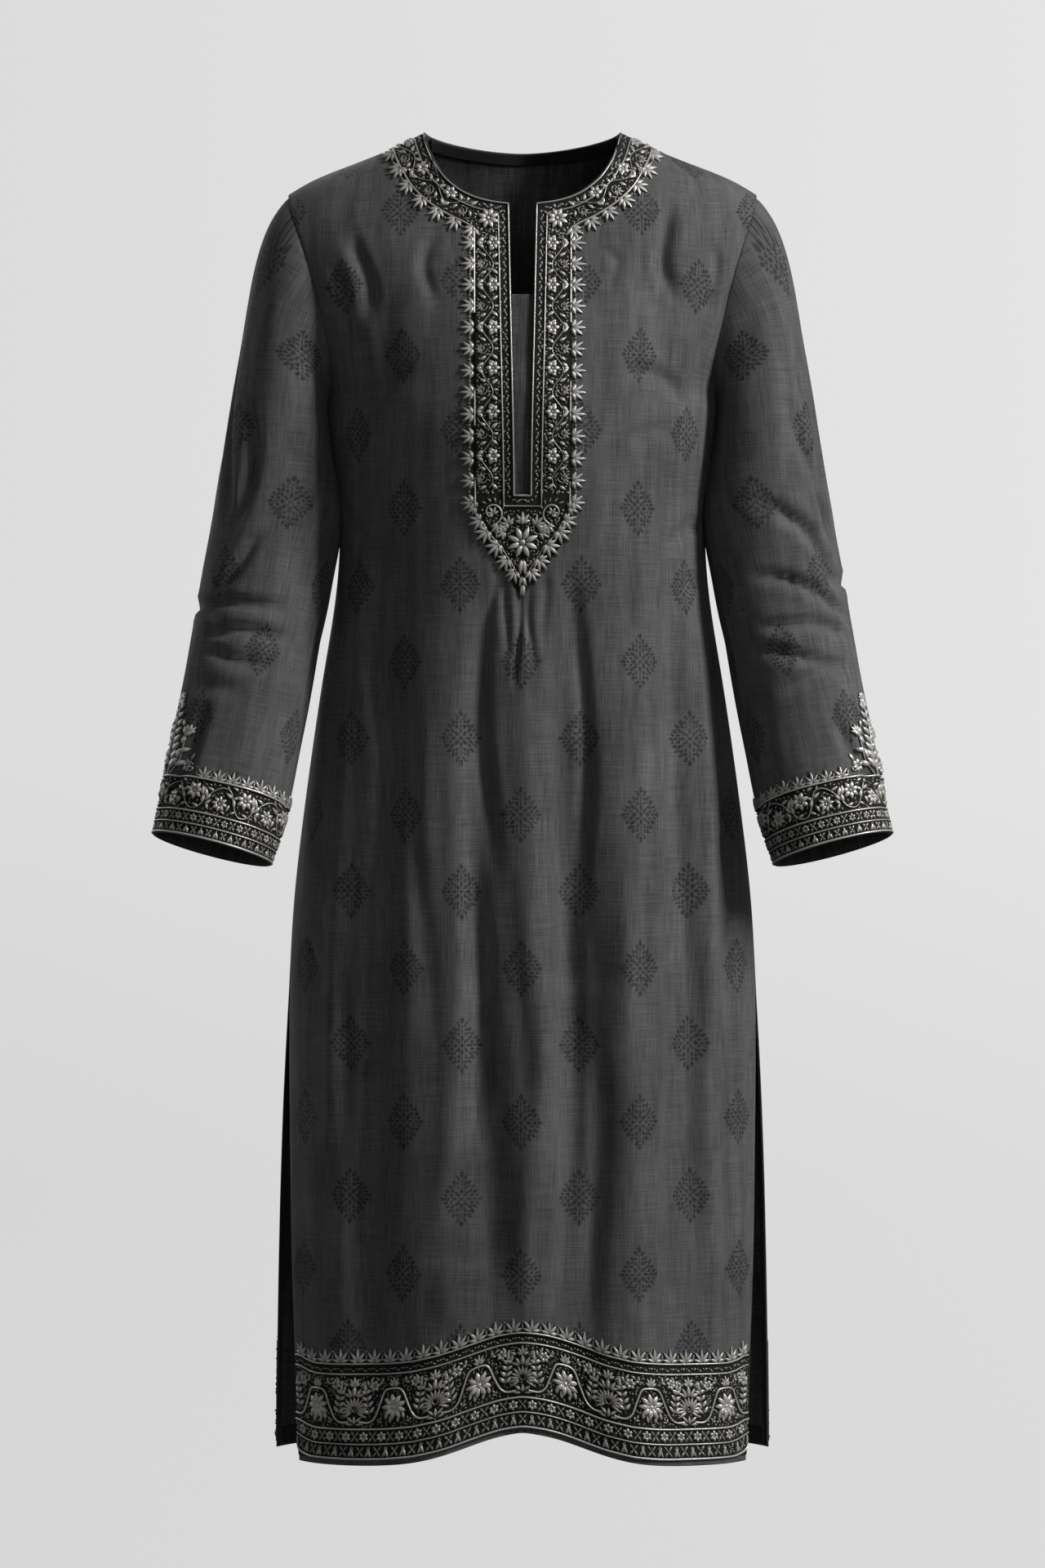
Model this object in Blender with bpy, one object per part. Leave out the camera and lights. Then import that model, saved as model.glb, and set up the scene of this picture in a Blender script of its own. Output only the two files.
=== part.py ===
"""A straight-cut women's kurta: a hollow shell of cut cloth panels, held open as on a wearer.

Frame: +Z up, the front faces -Y, the wearer's left is +X. The origin is on the centre line at the
height of the shoulder's highest point, where a wearer's shoulders hold the garment.
Tables and named sizes are in millimetres; MM turns them to metres.
"""

import math
from collections import namedtuple

import bmesh
import bpy
from mathutils import Vector

MM = 0.001
NEAR = 0.001 * MM

# Cloth
CLOTH = 1.3 * MM
TRIM = 1.2 * MM
SEAM_GAP = 0.3 * MM
LAY_GAP = 0.45 * MM
LONGEST_MITRE = 0.3
FOLDED_BACK = 0.1
SHARP_EDGE = 50

# Main sizes
NECK_HALF = 82
SHOULDER_HALF = 198
SHOULDER_DROP = 52.5
UNDERARM = -232
SLIT_TOP_HALF = 10.5
SLIT_END_HALF = 5.5
FRONT_NECK = -69
SLIT_END = -313
BACK_NECK = -8
SIDE_SLIT = -719
FRONT_HEM = -1116
BACK_HEM = -1115
BORDER_HALF = 41
SHOULDER_ROUND = 70
SIDE_CURVE = 2.3
HEM_BORDER = 86
HEM_MARGIN = 5

# The shoulder line, from the neck to the armhole: distance from the centre and height.
SHOULDER_LINE = (
    (0, 38), (82, 0), (105, -11), (126, -20), (150, -29), (170, -36.5), (186, -44), (198, -52.5), (215, -70),
)
# The round front neck, from the slit to the shoulder.
FRONT_NECKLINE = ((10.5, -69), (25, -67.5), (41, -63), (58, -52), (71, -36), (79, -17), (82, 0))

# The embroidered neck border's outline, from the shoulder down to the medallion's point.
BORDER_OUTLINE = (
    (112, 60), (112, -14), (108.5, -27), (102, -41), (93, -57), (79, -71), (62, -82), (49, -88),
    (BORDER_HALF, -94), (BORDER_HALF, -325), (38, -345), (27, -361), (15, -376), (5, -390), (0, -397),
)
CUTTER_BACK = -5
CUTTER_DEPTH = 240

# Small pieces on the inside: the strip behind the slit and the back hem's turn-up.
UNDERLAY_TOP = -147
UNDERLAY_END = -330
UNDERLAY_HALF = 20
TURN_UP = 16
EDGE_MARGIN = 2

# Cross-sections of a panel: height, half its width, depth at the centre line and at the edge, and how
# far round its side curve the edge is cut (1 is where the panel runs straight back).
Section = namedtuple("Section", "height half_width depth edge_depth cut")
FRONT_SECTIONS = tuple(Section(*row) for row in (
    (0, 200, 60, 42, 0.80),
    (-52.5, 198, 69, 46, 0.80),
    (-79, 191, 75, 50, 0.80),
    (-109, 181, 86, 55, 0.81),
    (-140, 172, 97, 58, 0.83),
    (-170, 165.5, 106, 56, 0.87),
    (-200, 161.5, 113, 44, 0.93),
    (-218, 163, 116, 27, 0.97),
    (-232, 167.5, 118, 0, 1),
    (-262, 164.5, 120, 0, 1),
    (-300, 157.5, 117, 0, 1),
    (-336, 153.5, 111, 0, 1),
    (-372, 154.5, 107, 0, 1),
    (-408, 159.5, 105, 0, 1),
    (-455, 168, 105, 0, 1),
    (-508, 176, 106, 0, 1),
    (-568, 184, 107, 0, 1),
    (-640, 193.5, 108, 0, 1),
    (-719, 197, 108, 0, 1),
    (-735, 197.4, 108, 0.8, 1),
    (-770, 197, 108, 7, 1),
    (-850, 195.5, 107, 16, 0.99),
    (-950, 194, 104, 24, 0.98),
    (-1030, 190.5, 101, 29, 0.975),
    (-1116, 187, 98, 32, 0.97),
))
BACK_SECTIONS = tuple(Section(*row) for row in (
    (0, 200, 64, 46, 0.80),
    (-52.5, 198, 84, 52, 0.80),
    (-79, 193, 91, 56, 0.80),
    (-109, 185, 98, 61, 0.81),
    (-140, 178, 103, 62, 0.83),
    (-170, 171.5, 106, 58, 0.87),
    (-200, 166.5, 107, 45, 0.93),
    (-218, 165.5, 106, 27, 0.97),
    (-232, 167.5, 104, 0, 1),
    (-262, 164.5, 99, 0, 1),
    (-300, 157.5, 90, 0, 1),
    (-336, 153.5, 83, 0, 1),
    (-372, 154.5, 80, 0, 1),
    (-408, 159.5, 82, 0, 1),
    (-455, 168, 89, 0, 1),
    (-508, 176, 97, 0, 1),
    (-568, 184, 104, 0, 1),
    (-640, 193.5, 109, 0, 1),
    (-719, 197, 111, 0, 1),
    (-735, 197.4, 111, 0.8, 1),
    (-770, 200.5, 111, 7, 1),
    (-850, 204.5, 110, 16, 0.99),
    (-950, 207.5, 108, 24, 0.98),
    (-1030, 209, 106, 29, 0.975),
    (-1116, 210, 104, 32, 0.97),
))

# The largest folds: where they stand off the centre line, their depth in (troughs are positive), half
# width, and the heights between which they run.
Fold = namedtuple("Fold", "offset depth half_width top bottom")
FRONT_FOLDS = tuple(Fold(*row) for row in (
    (46, 9, 24, -340, -1060),
    (-32, 7, 22, -370, -860),
    (-122, 7, 30, -290, -1000),
    (6, -4, 26, -560, -1010),
    (-78, -5, 26, -420, -1116),
    (92, -5, 28, -420, -1116),
    (138, 6, 24, -520, -1000),
    (0, 9, 46, -940, -1180),
    (120, 3, 20, -60, -190),
))
BACK_FOLDS = tuple(Fold(*row) for row in (
    (-40, 8, 26, -300, -980),
    (48, 6, 26, -420, -1100),
    (118, 7, 30, -300, -900),
    (-126, 6, 30, -460, -1080),
    (4, -5, 30, -520, -1116),
    (84, -4, 26, -640, -1116),
))
FOLD_FADE = 150
FOLD_EDGE = 0.25

# The front hem rises to the centre: a soft hump on a slight bow.
HEM_HUMP = 26
HEM_HUMP_WIDTH = 65
HEM_BOW = 6
HEM_BOW_REACH = 187
HEM_LIFT_TOP = -850
HEM_LIFT_FULL = -1015

# Each sleeve ring runs from an outer point to an inner point (distance out and height); its middle
# lies forward of the shoulder by `forward`, it reaches `half_depth` to front and back, and its front
# is tipped up by `tip` degrees.
Ring = namedtuple("Ring", "outer_x outer_z inner_x inner_z forward half_depth tip")
SLEEVE_RINGS = tuple(Ring(*row) for row in (
    (198, -52.5, 167.5, -232, -2, 58, 0),
    (211, -67, 172, -234, -1, 60, 0),
    (222, -92, 174.5, -239, 0, 61, 0),
    (231, -130, 171, -250, 2, 62, 0),
    (239, -182, 166, -274, 5, 61, 1),
    (248, -242, 160.5, -308, 9, 58.5, 3),
    (258, -300, 158, -340, 13, 56, 5),
    (266, -350, 162.5, -372, 18, 54, 6),
    (273.5, -394, 164.5, -404, 23, 52.5, 7),
    (280, -434, 171, -440, 29, 51.5, 8),
    (287.5, -476, 178.5, -486, 36, 50, 9),
    (296, -521, 187, -532, 43, 48.5, 10),
    (301, -545, 193.5, -567, 48.5, 47.2, 10),
    (307.5, -592, 209.5, -617, 55, 44.5, 10),
))
CAP_RINGS = 4
CUFF_ROWS = 1

# How the panels are divided: shares of the armhole's height, rows under it, and columns off the centre.
ARMHOLE_STEPS = (0, 0.04, 0.10, 0.19, 0.31, 0.45, 0.60, 0.75, 0.88, 0.96, 1)
BODY_ROWS = (-262, -313, -350, -400, -455, -515, -580, -650, -719, -785, -855, -930, -1000)
BORDER_ROWS = 2
ROW_SPACE = 20
NECK_BORDER_ROWS = 4
NECK_BORDER_INSET = 3
INNER_COLUMNS = (23, 41)
NECK_COLUMNS = (58, 71, 79, 82)
SHOULDER_COLUMNS = (106, 131, 156, 179, 198)

CLOTH_COLOUR = (0.075, 0.077, 0.082, 1)
DARK_COLOUR = (0.012, 0.012, 0.013, 1)
EMBROIDERY_COLOUR = (0.33, 0.31, 0.28, 1)


def smooth_step(value):
    value = min(max(value, 0), 1)
    return value * value * (3 - 2 * value)


def along(points, place):
    """The value at `place` on the smooth curve through (place, value) points, which may run either way."""
    points = sorted(points)
    if place <= points[0][0]:
        return points[0][1]
    if place >= points[-1][0]:
        return points[-1][1]
    index = max(i for i in range(len(points) - 1) if points[i][0] <= place)
    (x0, y0), (x1, y1) = points[index], points[index + 1]
    chord = (y1 - y0) / (x1 - x0)

    def slope(i):
        if i in (0, len(points) - 1):
            return chord
        before = (points[i][1] - points[i - 1][1]) / (points[i][0] - points[i - 1][0])
        after = (points[i + 1][1] - points[i][1]) / (points[i + 1][0] - points[i][0])
        return 2 * before * after / (before + after) if before * after > 0 else 0

    t = (place - x0) / (x1 - x0)
    run = x1 - x0
    start = y0 * (1 + 2 * t) * (1 - t) ** 2 + slope(index) * run * t * (1 - t) ** 2
    end = y1 * t * t * (3 - 2 * t) + slope(index + 1) * run * t * t * (t - 1)
    return start + end


def column_of(sections, name):
    return [(section.height, getattr(section, name)) for section in sections]


def side_curve(place):
    return math.sqrt(max(0, 1 - place ** SIDE_CURVE))


def fold_depth(folds, x, z):
    total = 0
    for fold in folds:
        starts = smooth_step((fold.top - z) / FOLD_FADE)
        ends = smooth_step((z - fold.bottom + FOLD_FADE) / FOLD_FADE)
        total += fold.depth * starts * ends * math.exp(-(((x - fold.offset) / fold.half_width) ** 2))
    return total


class Panel:
    """The front or the back as a height field: how far the cloth stands from the shoulders' plane."""

    def __init__(self, sections, folds, facing, hem):
        self.columns = {name: column_of(sections, name) for name in Section._fields[1:]}
        self.folds = folds
        self.facing = facing
        self.hem = hem

    def value(self, name, z):
        return along(self.columns[name], z)

    def half_width(self, z):
        return self.value("half_width", z)

    def depth(self, x, z):
        cut = self.value("cut", z)
        share = min(abs(x) / self.half_width(z), 1)
        fall = (side_curve(share * cut) - side_curve(cut)) / (1 - side_curve(cut))
        edge = self.value("edge_depth", z)
        middle = self.value("depth", z)
        flat = edge + (middle - edge) * fall
        room = min(max((along(SHOULDER_LINE, abs(x)) - z) / SHOULDER_ROUND, 0), 1)
        inward = fold_depth(self.folds, x, z) * smooth_step((1 - share) / FOLD_EDGE)
        return (flat - inward) * math.sqrt(1 - (1 - room) ** 2)

    def point(self, x, z):
        return Vector((x, self.facing * self.depth(x, z), z)) * MM


def hem_lift(x, z):
    hump = HEM_HUMP * math.exp(-((x / HEM_HUMP_WIDTH) ** 2))
    bow = HEM_BOW * max(0, 1 - abs(x) / HEM_BOW_REACH)
    return (hump + bow) * smooth_step((HEM_LIFT_TOP - z) / (HEM_LIFT_TOP - HEM_LIFT_FULL))


FRONT = Panel(FRONT_SECTIONS, FRONT_FOLDS, -1, FRONT_HEM)
BACK = Panel(BACK_SECTIONS, BACK_FOLDS, 1, BACK_HEM)


def back_neck_height(x):
    return BACK_NECK * (1 - (x / NECK_HALF) ** 2)


def top_edge(panel, x):
    """Height of the panel's top edge, the neckline or the shoulder, at a distance from the centre."""
    if x >= NECK_HALF:
        return along(SHOULDER_LINE, x)
    if panel is BACK:
        return back_neck_height(x)
    return along(FRONT_NECKLINE, x)


def slit_half(z):
    share = smooth_step((FRONT_NECK - z) / (FRONT_NECK - SLIT_END))
    return SLIT_TOP_HALF + (SLIT_END_HALF - SLIT_TOP_HALF) * share


def panel_heights(panel):
    """Heights of the rows under the armhole, down to the hem with its border rows."""
    border_top = panel.hem + HEM_MARGIN + HEM_BORDER
    border = [border_top - HEM_BORDER * i / BORDER_ROWS for i in range(BORDER_ROWS + 1)]
    return [z for z in BODY_ROWS if z > border_top + ROW_SPACE] + border + [panel.hem]


def panel_point(panel, column, row):
    """A panel's point at a signed column (0 is the centre) and a row (0 is the top edge).

    The columns out to the border's edge run straight down. The others start spread along the neck and
    the shoulder, and below the armhole they stand at even turns of the side curve.
    """
    side = -1 if column < 0 else 1
    column = abs(column)
    tops = (0, SLIT_TOP_HALF) + INNER_COLUMNS + NECK_COLUMNS + SHOULDER_COLUMNS
    straight = 1 + len(INNER_COLUMNS)
    top_x = tops[column]
    upper = len(ARMHOLE_STEPS) - 1
    top_z = top_edge(panel, top_x if column else (SLIT_TOP_HALF if panel is FRONT else 0))
    if row <= upper:
        step = ARMHOLE_STEPS[row]
        z = top_z + (UNDERARM - top_z) * step
        outer_z = -SHOULDER_DROP + (UNDERARM + SHOULDER_DROP) * step
        width = panel.half_width(outer_z)
    else:
        step = 1
        z = panel_heights(panel)[row - upper - 1]
        width = panel.half_width(z)
    if column == 0:
        x = 0
    elif column == 1:
        x = slit_half(z) if z > SLIT_END else SLIT_END_HALF
    elif column <= straight:
        x = top_x
    else:
        first = math.asin(BORDER_HALF / width)
        turn = first + (math.pi / 2 - first) * (column - straight) / (len(tops) - 1 - straight)
        low = (math.sin(turn) - math.sin(first)) / (1 - math.sin(first))
        high = (top_x - BORDER_HALF) / (SHOULDER_HALF - BORDER_HALF)
        share = high + (low - high) * smooth_step(step)
        x = BORDER_HALF + (width - BORDER_HALF) * share
    if panel is FRONT:
        z += hem_lift(x, z)
    return panel.point(side * x, z)


HALF_COLUMNS = 1 + len(INNER_COLUMNS) + len(NECK_COLUMNS) + len(SHOULDER_COLUMNS)


def grid_surface(columns, rows, place):
    """An open sheet of columns by rows of faces, each vertex put where place(column, row) says."""
    bm = bmesh.new()
    bmesh.ops.create_grid(bm, x_segments=columns, y_segments=rows, size=0.5)
    for vertex in bm.verts:
        column = round((vertex.co.x + 0.5) * columns)
        row = round((vertex.co.y + 0.5) * rows)
        vertex.co = place(column, row)
    return bm


def face_outward(bm, centre):
    """Turns the whole sheet so that its faces look away from the middle line centre(z)."""
    bm.normal_update()
    middles = [(face.calc_center_median(), face.normal) for face in bm.faces]
    if sum((middle - centre(middle.z)).dot(normal) for middle, normal in middles) < 0:
        bmesh.ops.reverse_faces(bm, faces=bm.faces[:])
    bm.normal_update()


def trim(sheet, planes):
    """Cuts a sheet along planes, each given as a point and the way that is cut off."""
    for point, way in planes:
        everything = sheet.verts[:] + sheet.edges[:] + sheet.faces[:]
        place = Vector(point) * MM
        bmesh.ops.bisect_plane(sheet, geom=everything, dist=NEAR, plane_co=place, plane_no=way, clear_outer=True)
    sheet.normal_update()


def panel_patch(panel, columns, rows, planes=()):
    """A piece of a panel's surface on the panel's own points, between two columns and two rows."""
    sheet = grid_surface(
        columns[1] - columns[0],
        rows[1] - rows[0],
        lambda column, row: panel_point(panel, columns[0] + column, rows[0] + row),
    )
    face_outward(sheet, lambda z: Vector((0, 0, z)))
    trim(sheet, planes)
    return sheet


def last_row(panel):
    return len(ARMHOLE_STEPS) + len(panel_heights(panel)) - 1


def whole_panel(panel):
    return panel_patch(panel, (-HALF_COLUMNS, HALF_COLUMNS), (0, last_row(panel)))


def open_slit(sheet):
    """Takes out the faces between the two edges of the front slit."""
    opening = []
    for face in sheet.faces:
        middle = face.calc_center_median() / MM
        if abs(middle.x) < slit_half(middle.z) and middle.z > SLIT_END:
            opening.append(face)
    bmesh.ops.delete(sheet, geom=opening, context="FACES")
    sheet.normal_update()
    return sheet


def armhole_loop(side):
    """The armhole's points, from the shoulder down the front, round the underarm and up the back."""
    last = len(ARMHOLE_STEPS) - 1
    front = [panel_point(FRONT, side * HALF_COLUMNS, row) for row in range(last + 1)]
    back = [panel_point(BACK, side * HALF_COLUMNS, row) for row in range(last, 0, -1)]
    return front + back[1:]


def ring_point(ring, side, angle):
    """A sleeve ring's point: angle 0 is the outer line, then round the front to the inner line."""
    outer = Vector((side * ring.outer_x, 0, ring.outer_z))
    inner = Vector((side * ring.inner_x, 0, ring.inner_z))
    tip = math.radians(ring.tip)
    front = Vector((0, -math.cos(tip), math.sin(tip)))
    centre = (outer + inner) / 2 + Vector((0, -ring.forward, 0))
    reach = (outer - inner) / 2
    return (centre + reach * math.cos(angle) + front * ring.half_depth * math.sin(angle)) * MM


def sleeve_sheet(side, first=0):
    """A sleeve's surface, from its armhole (or a lower ring) to the cuff's edge."""
    loop = armhole_loop(side)
    around = len(loop)
    half = around // 2

    def angle_at(index, row):
        drop = ARMHOLE_STEPS[index if index <= half else around - index]
        start = math.acos(1 - 2 * drop)
        start = start if index <= half else 2 * math.pi - start
        even = 2 * math.pi * index / around
        return start + (even - start) * smooth_step(row / CAP_RINGS)

    def place(column, row):
        index = column % around
        ring = first + row
        pull = loop[index] - ring_point(SLEEVE_RINGS[0], side, angle_at(index, 0))
        held = 1 - smooth_step(ring / CAP_RINGS)
        return ring_point(SLEEVE_RINGS[ring], side, angle_at(index, ring)) + pull * held

    sheet = grid_surface(around, len(SLEEVE_RINGS) - 1 - first, place)
    bmesh.ops.remove_doubles(sheet, verts=sheet.verts[:], dist=0.01 * MM)
    middles = [((r.outer_z + r.inner_z) / 2, (r.outer_x + r.inner_x) / 2) for r in SLEEVE_RINGS]
    face_outward(sheet, lambda z: Vector((side * along(middles, z / MM) * MM, 0, z)))
    return sheet


def key(point):
    """A place as whole steps. The step is an odd one, so that round sizes don't fall between two keys."""
    return tuple(round(value / (0.0137 * MM)) for value in point)


def mitre(normals):
    """The offset that stays one unit from every one of these faces."""
    total = sum(normals, Vector())
    reach = sum(total.dot(normal) for normal in normals) / len(normals)
    return total / max(reach, LONGEST_MITRE)


def seam_offset(own, normals):
    """The way a wall's thickness goes: a mitre with its neighbours, or its own normal under the arm,
    where the sleeve folds back on the body and the two walls part by themselves."""
    folds_back = min(own.dot(normal) for normal in normals) < FOLDED_BACK
    return own if folds_back else mitre(normals)


def seam_normals(sheets):
    """The normals that all the sheets have at each place, so that the walls meet in a shared mitre."""
    shared = {}
    for sheet in sheets:
        for vertex in sheet.verts:
            shared.setdefault(key(vertex.co), []).append(vertex.normal.copy())
    return shared


def pull_in(sheet, shared):
    """Draws each seam edge back by half the gap that the two pieces keep."""
    moves = {}
    for edge in sheet.edges:
        if not edge.is_boundary or any(len(shared.get(key(v.co), ())) < 2 for v in edge.verts):
            continue
        face = edge.link_faces[0]
        line = (edge.verts[1].co - edge.verts[0].co).normalized()
        inward = face.calc_center_median() - edge.verts[0].co
        inward = (inward - line * inward.dot(line)).normalized()
        for vertex in edge.verts:
            moves.setdefault(vertex, []).append(inward)
    for vertex, ways in moves.items():
        vertex.co += mitre(ways) * SEAM_GAP / 2


def wall(sheet, thickness, shared, inside=0):
    """Thickens an open sheet inwards into a closed wall, starting `inside` below its surface."""
    offsets = sheet.verts.layers.float_vector.new("offset")
    for vertex in sheet.verts:
        vertex[offsets] = seam_offset(vertex.normal, shared.get(key(vertex.co), [vertex.normal]))
    pull_in(sheet, shared)
    for vertex in sheet.verts:
        vertex.co -= vertex[offsets] * inside
    made = bmesh.ops.extrude_face_region(sheet, geom=sheet.faces[:], use_keep_orig=True)
    for item in made["geom"]:
        if isinstance(item, bmesh.types.BMVert):
            item.co -= item[offsets] * thickness
    bmesh.ops.recalc_face_normals(sheet, faces=sheet.faces[:])


def material(name, colour, roughness, metallic):
    finish = bpy.data.materials.new(name)
    finish.use_nodes = True
    shader = finish.node_tree.nodes["Principled BSDF"]
    shader.inputs["Base Color"].default_value = colour
    shader.inputs["Roughness"].default_value = roughness
    shader.inputs["Metallic"].default_value = metallic
    return finish


def add_part(name, sheet, finish, collection):
    mesh = bpy.data.meshes.new(name)
    sheet.to_mesh(mesh)
    sheet.free()
    mesh.shade_smooth()
    mesh.set_sharp_from_angle(angle=math.radians(SHARP_EDGE))
    part = bpy.data.objects.new(name, mesh)
    if finish:
        part.data.materials.append(finish)
    collection.objects.link(part)
    return part


def lay_on(sheet, shared):
    """A trim that lies on a sheet: its wall starts a gap above the cloth and ends a thickness above that."""
    wall(sheet, TRIM, shared, inside=-(LAY_GAP + TRIM))


def hem_border_rows(panel):
    return last_row(panel) - 1 - BORDER_ROWS, last_row(panel) - 1


# --- Neck border: a second layer of the front, cut to an outline that runs down to a pointed medallion. ---

def outline_cutter(collection):
    """A prism of the border's outline, right through the front."""
    sheet = bmesh.new()
    half = [Vector((x, -CUTTER_BACK, z)) * MM for x, z in BORDER_OUTLINE]
    other = [Vector((-x, -CUTTER_BACK, z)) * MM for x, z in reversed(BORDER_OUTLINE[:-1])]
    outline = sheet.faces.new([sheet.verts.new(point) for point in half + other])
    made = bmesh.ops.extrude_face_region(sheet, geom=[outline], use_keep_orig=True)
    moved = [item for item in made["geom"] if isinstance(item, bmesh.types.BMVert)]
    bmesh.ops.translate(sheet, verts=moved, vec=(0, -CUTTER_DEPTH * MM, 0))
    bmesh.ops.recalc_face_normals(sheet, faces=sheet.faces[:])
    cutter = add_part("neck_border_outline", sheet, None, collection)
    cutter.hide_render = True
    cutter.display_type = "WIRE"
    return cutter


# --- Small hidden-side pieces: each is cut from a copy of its panel's sheet and set behind it. ---

def small_pieces():
    upper = len(ARMHOLE_STEPS) - 1
    last = last_row(BACK)
    inner_x = panel_point(BACK, HALF_COLUMNS - 1, last).x / MM - EDGE_MARGIN
    low = ((0, 0, BACK_HEM + EDGE_MARGIN), (0, 0, -1))
    neck_end = HALF_COLUMNS - len(SHOULDER_COLUMNS) - 1
    pieces = {
        "placket_underlay": panel_patch(FRONT, (-2, 2), (0, upper + 3), (
            ((0, 0, UNDERLAY_TOP), (0, 0, 1)),
            ((0, 0, UNDERLAY_END), (0, 0, -1)),
            ((UNDERLAY_HALF, 0, 0), (1, 0, 0)),
            ((-UNDERLAY_HALF, 0, 0), (-1, 0, 0)),
        )),
        "back_neck_binding": panel_patch(BACK, (-neck_end, neck_end), (0, 1)),
        "back_hem_turnup": panel_patch(BACK, (1 - HALF_COLUMNS, HALF_COLUMNS - 1), (last - 2, last), (
            ((0, 0, BACK_HEM + TURN_UP), (0, 0, 1)),
            low,
            ((inner_x, 0, 0), (1, 0, 0)),
            ((-inner_x, 0, 0), (-1, 0, 0)),
        )),
    }
    slit_row = upper + 1 + panel_heights(BACK).index(SIDE_SLIT)
    left = (HALF_COLUMNS - 1, HALF_COLUMNS)
    right = (-HALF_COLUMNS, 1 - HALF_COLUMNS)
    pieces["slit_facing_left"] = panel_patch(BACK, left, (slit_row, last), (low,))
    pieces["slit_facing_right"] = panel_patch(BACK, right, (slit_row, last), (low,))
    return pieces


def main():
    for thing in list(bpy.data.objects):
        bpy.data.objects.remove(thing)
    kurta = bpy.data.collections.new("kurta_tunic")
    cutters = bpy.data.collections.new("cutters")
    for collection in (kurta, cutters):
        bpy.context.scene.collection.children.link(collection)
    linen = material("slub linen", CLOTH_COLOUR, 0.8, 0)
    dark = material("dark plain weave", DARK_COLOUR, 0.85, 0)
    silver = material("antique silver embroidery", EMBROIDERY_COLOUR, 0.45, 0.6)

    panels = {
        "front_panel": open_slit(whole_panel(FRONT)),
        "back_panel": whole_panel(BACK),
        "sleeve_left": sleeve_sheet(1),
        "sleeve_right": sleeve_sheet(-1),
    }
    shared = seam_normals(panels.values())
    for name, sheet in panels.items():
        wall(sheet, CLOTH, shared)
        add_part(name, sheet, linen, kurta)

    cuff_ring = len(SLEEVE_RINGS) - 1 - CUFF_ROWS
    border_columns = (-HALF_COLUMNS, HALF_COLUMNS)
    neck_columns = (-HALF_COLUMNS + NECK_BORDER_INSET, HALF_COLUMNS - NECK_BORDER_INSET)
    neck_rows = (0, len(ARMHOLE_STEPS) + NECK_BORDER_ROWS)
    trims = {
        "hem_border_front": panel_patch(FRONT, border_columns, hem_border_rows(FRONT)),
        "hem_border_back": panel_patch(BACK, border_columns, hem_border_rows(BACK)),
        "cuff_border_left": sleeve_sheet(1, cuff_ring),
        "cuff_border_right": sleeve_sheet(-1, cuff_ring),
        "neck_border": open_slit(panel_patch(FRONT, neck_columns, neck_rows)),
    }
    made = {}
    for name, sheet in trims.items():
        lay_on(sheet, shared)
        made[name] = add_part(name, sheet, silver, kurta)
    outline = made["neck_border"].modifiers.new("outline", "BOOLEAN")
    outline.operation = "INTERSECT"
    outline.object = outline_cutter(cutters)

    for name, sheet in small_pieces().items():
        wall(sheet, TRIM, shared, inside=CLOTH + LAY_GAP)
        add_part(name, sheet, linen if name == "placket_underlay" else dark, kurta)


main()
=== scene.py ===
# %% [markdown]
# # A charcoal linen kurta with silver embroidery
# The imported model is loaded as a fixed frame. Each cloth piece in it is a plain faceted shell, and every
# step below gives one of them its real surface: smooth cloth with creases, a woven and printed finish,
# and borders of raised thread. All sizes are in metres unless a name says millimetres.

# %% Load the frame
import math
import random

import bmesh
import bpy
import numpy as np
from mathutils import Euler, Matrix, Vector, noise
from mathutils.bvhtree import BVHTree
from mathutils.geometry import barycentric_transform
from mathutils.kdtree import KDTree


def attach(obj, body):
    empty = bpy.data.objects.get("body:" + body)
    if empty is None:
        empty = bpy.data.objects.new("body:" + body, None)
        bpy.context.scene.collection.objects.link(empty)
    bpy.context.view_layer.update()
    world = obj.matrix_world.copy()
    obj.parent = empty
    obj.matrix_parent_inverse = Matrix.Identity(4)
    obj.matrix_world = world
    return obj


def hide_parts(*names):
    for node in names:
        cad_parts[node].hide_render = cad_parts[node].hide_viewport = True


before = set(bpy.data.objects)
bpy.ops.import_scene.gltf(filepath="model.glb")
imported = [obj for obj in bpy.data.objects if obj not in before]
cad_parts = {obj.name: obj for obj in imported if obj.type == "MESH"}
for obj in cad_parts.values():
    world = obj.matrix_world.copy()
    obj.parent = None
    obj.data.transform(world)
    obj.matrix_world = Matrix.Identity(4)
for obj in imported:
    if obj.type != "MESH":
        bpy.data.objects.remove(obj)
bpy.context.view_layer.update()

MM = 0.001
print("pieces to dress:", len(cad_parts))

# %% [markdown]
# ## Camera
# The garment is seen straight from the front, level with its middle, from about three and a half metres,
# the usual distance for a full-length garment. A long lens keeps the sleeves and the hem in proportion.

# %% Camera
CAMERA_DISTANCE = 3.5
MIDDLE_HEIGHT = -0.55
VIEW_HEIGHT = 1.325


def add_object(name, data):
    """A new object, linked to the scene."""
    made = bpy.data.objects.new(name, data)
    bpy.context.scene.collection.objects.link(made)
    return made


camera = add_object("camera", bpy.data.cameras.new("camera"))
camera.location = (0, -CAMERA_DISTANCE, MIDDLE_HEIGHT)
camera.rotation_euler = (math.pi / 2, 0, 0)
camera.data.sensor_fit = "VERTICAL"
camera.data.sensor_height = 36
camera.data.lens = camera.data.sensor_height * CAMERA_DISTANCE / VIEW_HEIGHT
bpy.context.scene.camera = camera
print("lens mm:", round(camera.data.lens, 1))

# %% [markdown]
# ## Colours and nodes
# Colours are written as they look on a screen, and one function turns them to the linear values that
# the shader works with. A second function adds a node with its settings and links, so that a finish
# reads as a list of what is done to it.

# %% Colour and node helpers
def colour(hex_code):
    parts = [int(hex_code[i:i + 2], 16) / 255 for i in (1, 3, 5)]
    return (*[part / 12.92 if part <= 0.04045 else ((part + 0.055) / 1.055) ** 2.4 for part in parts], 1)


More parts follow.
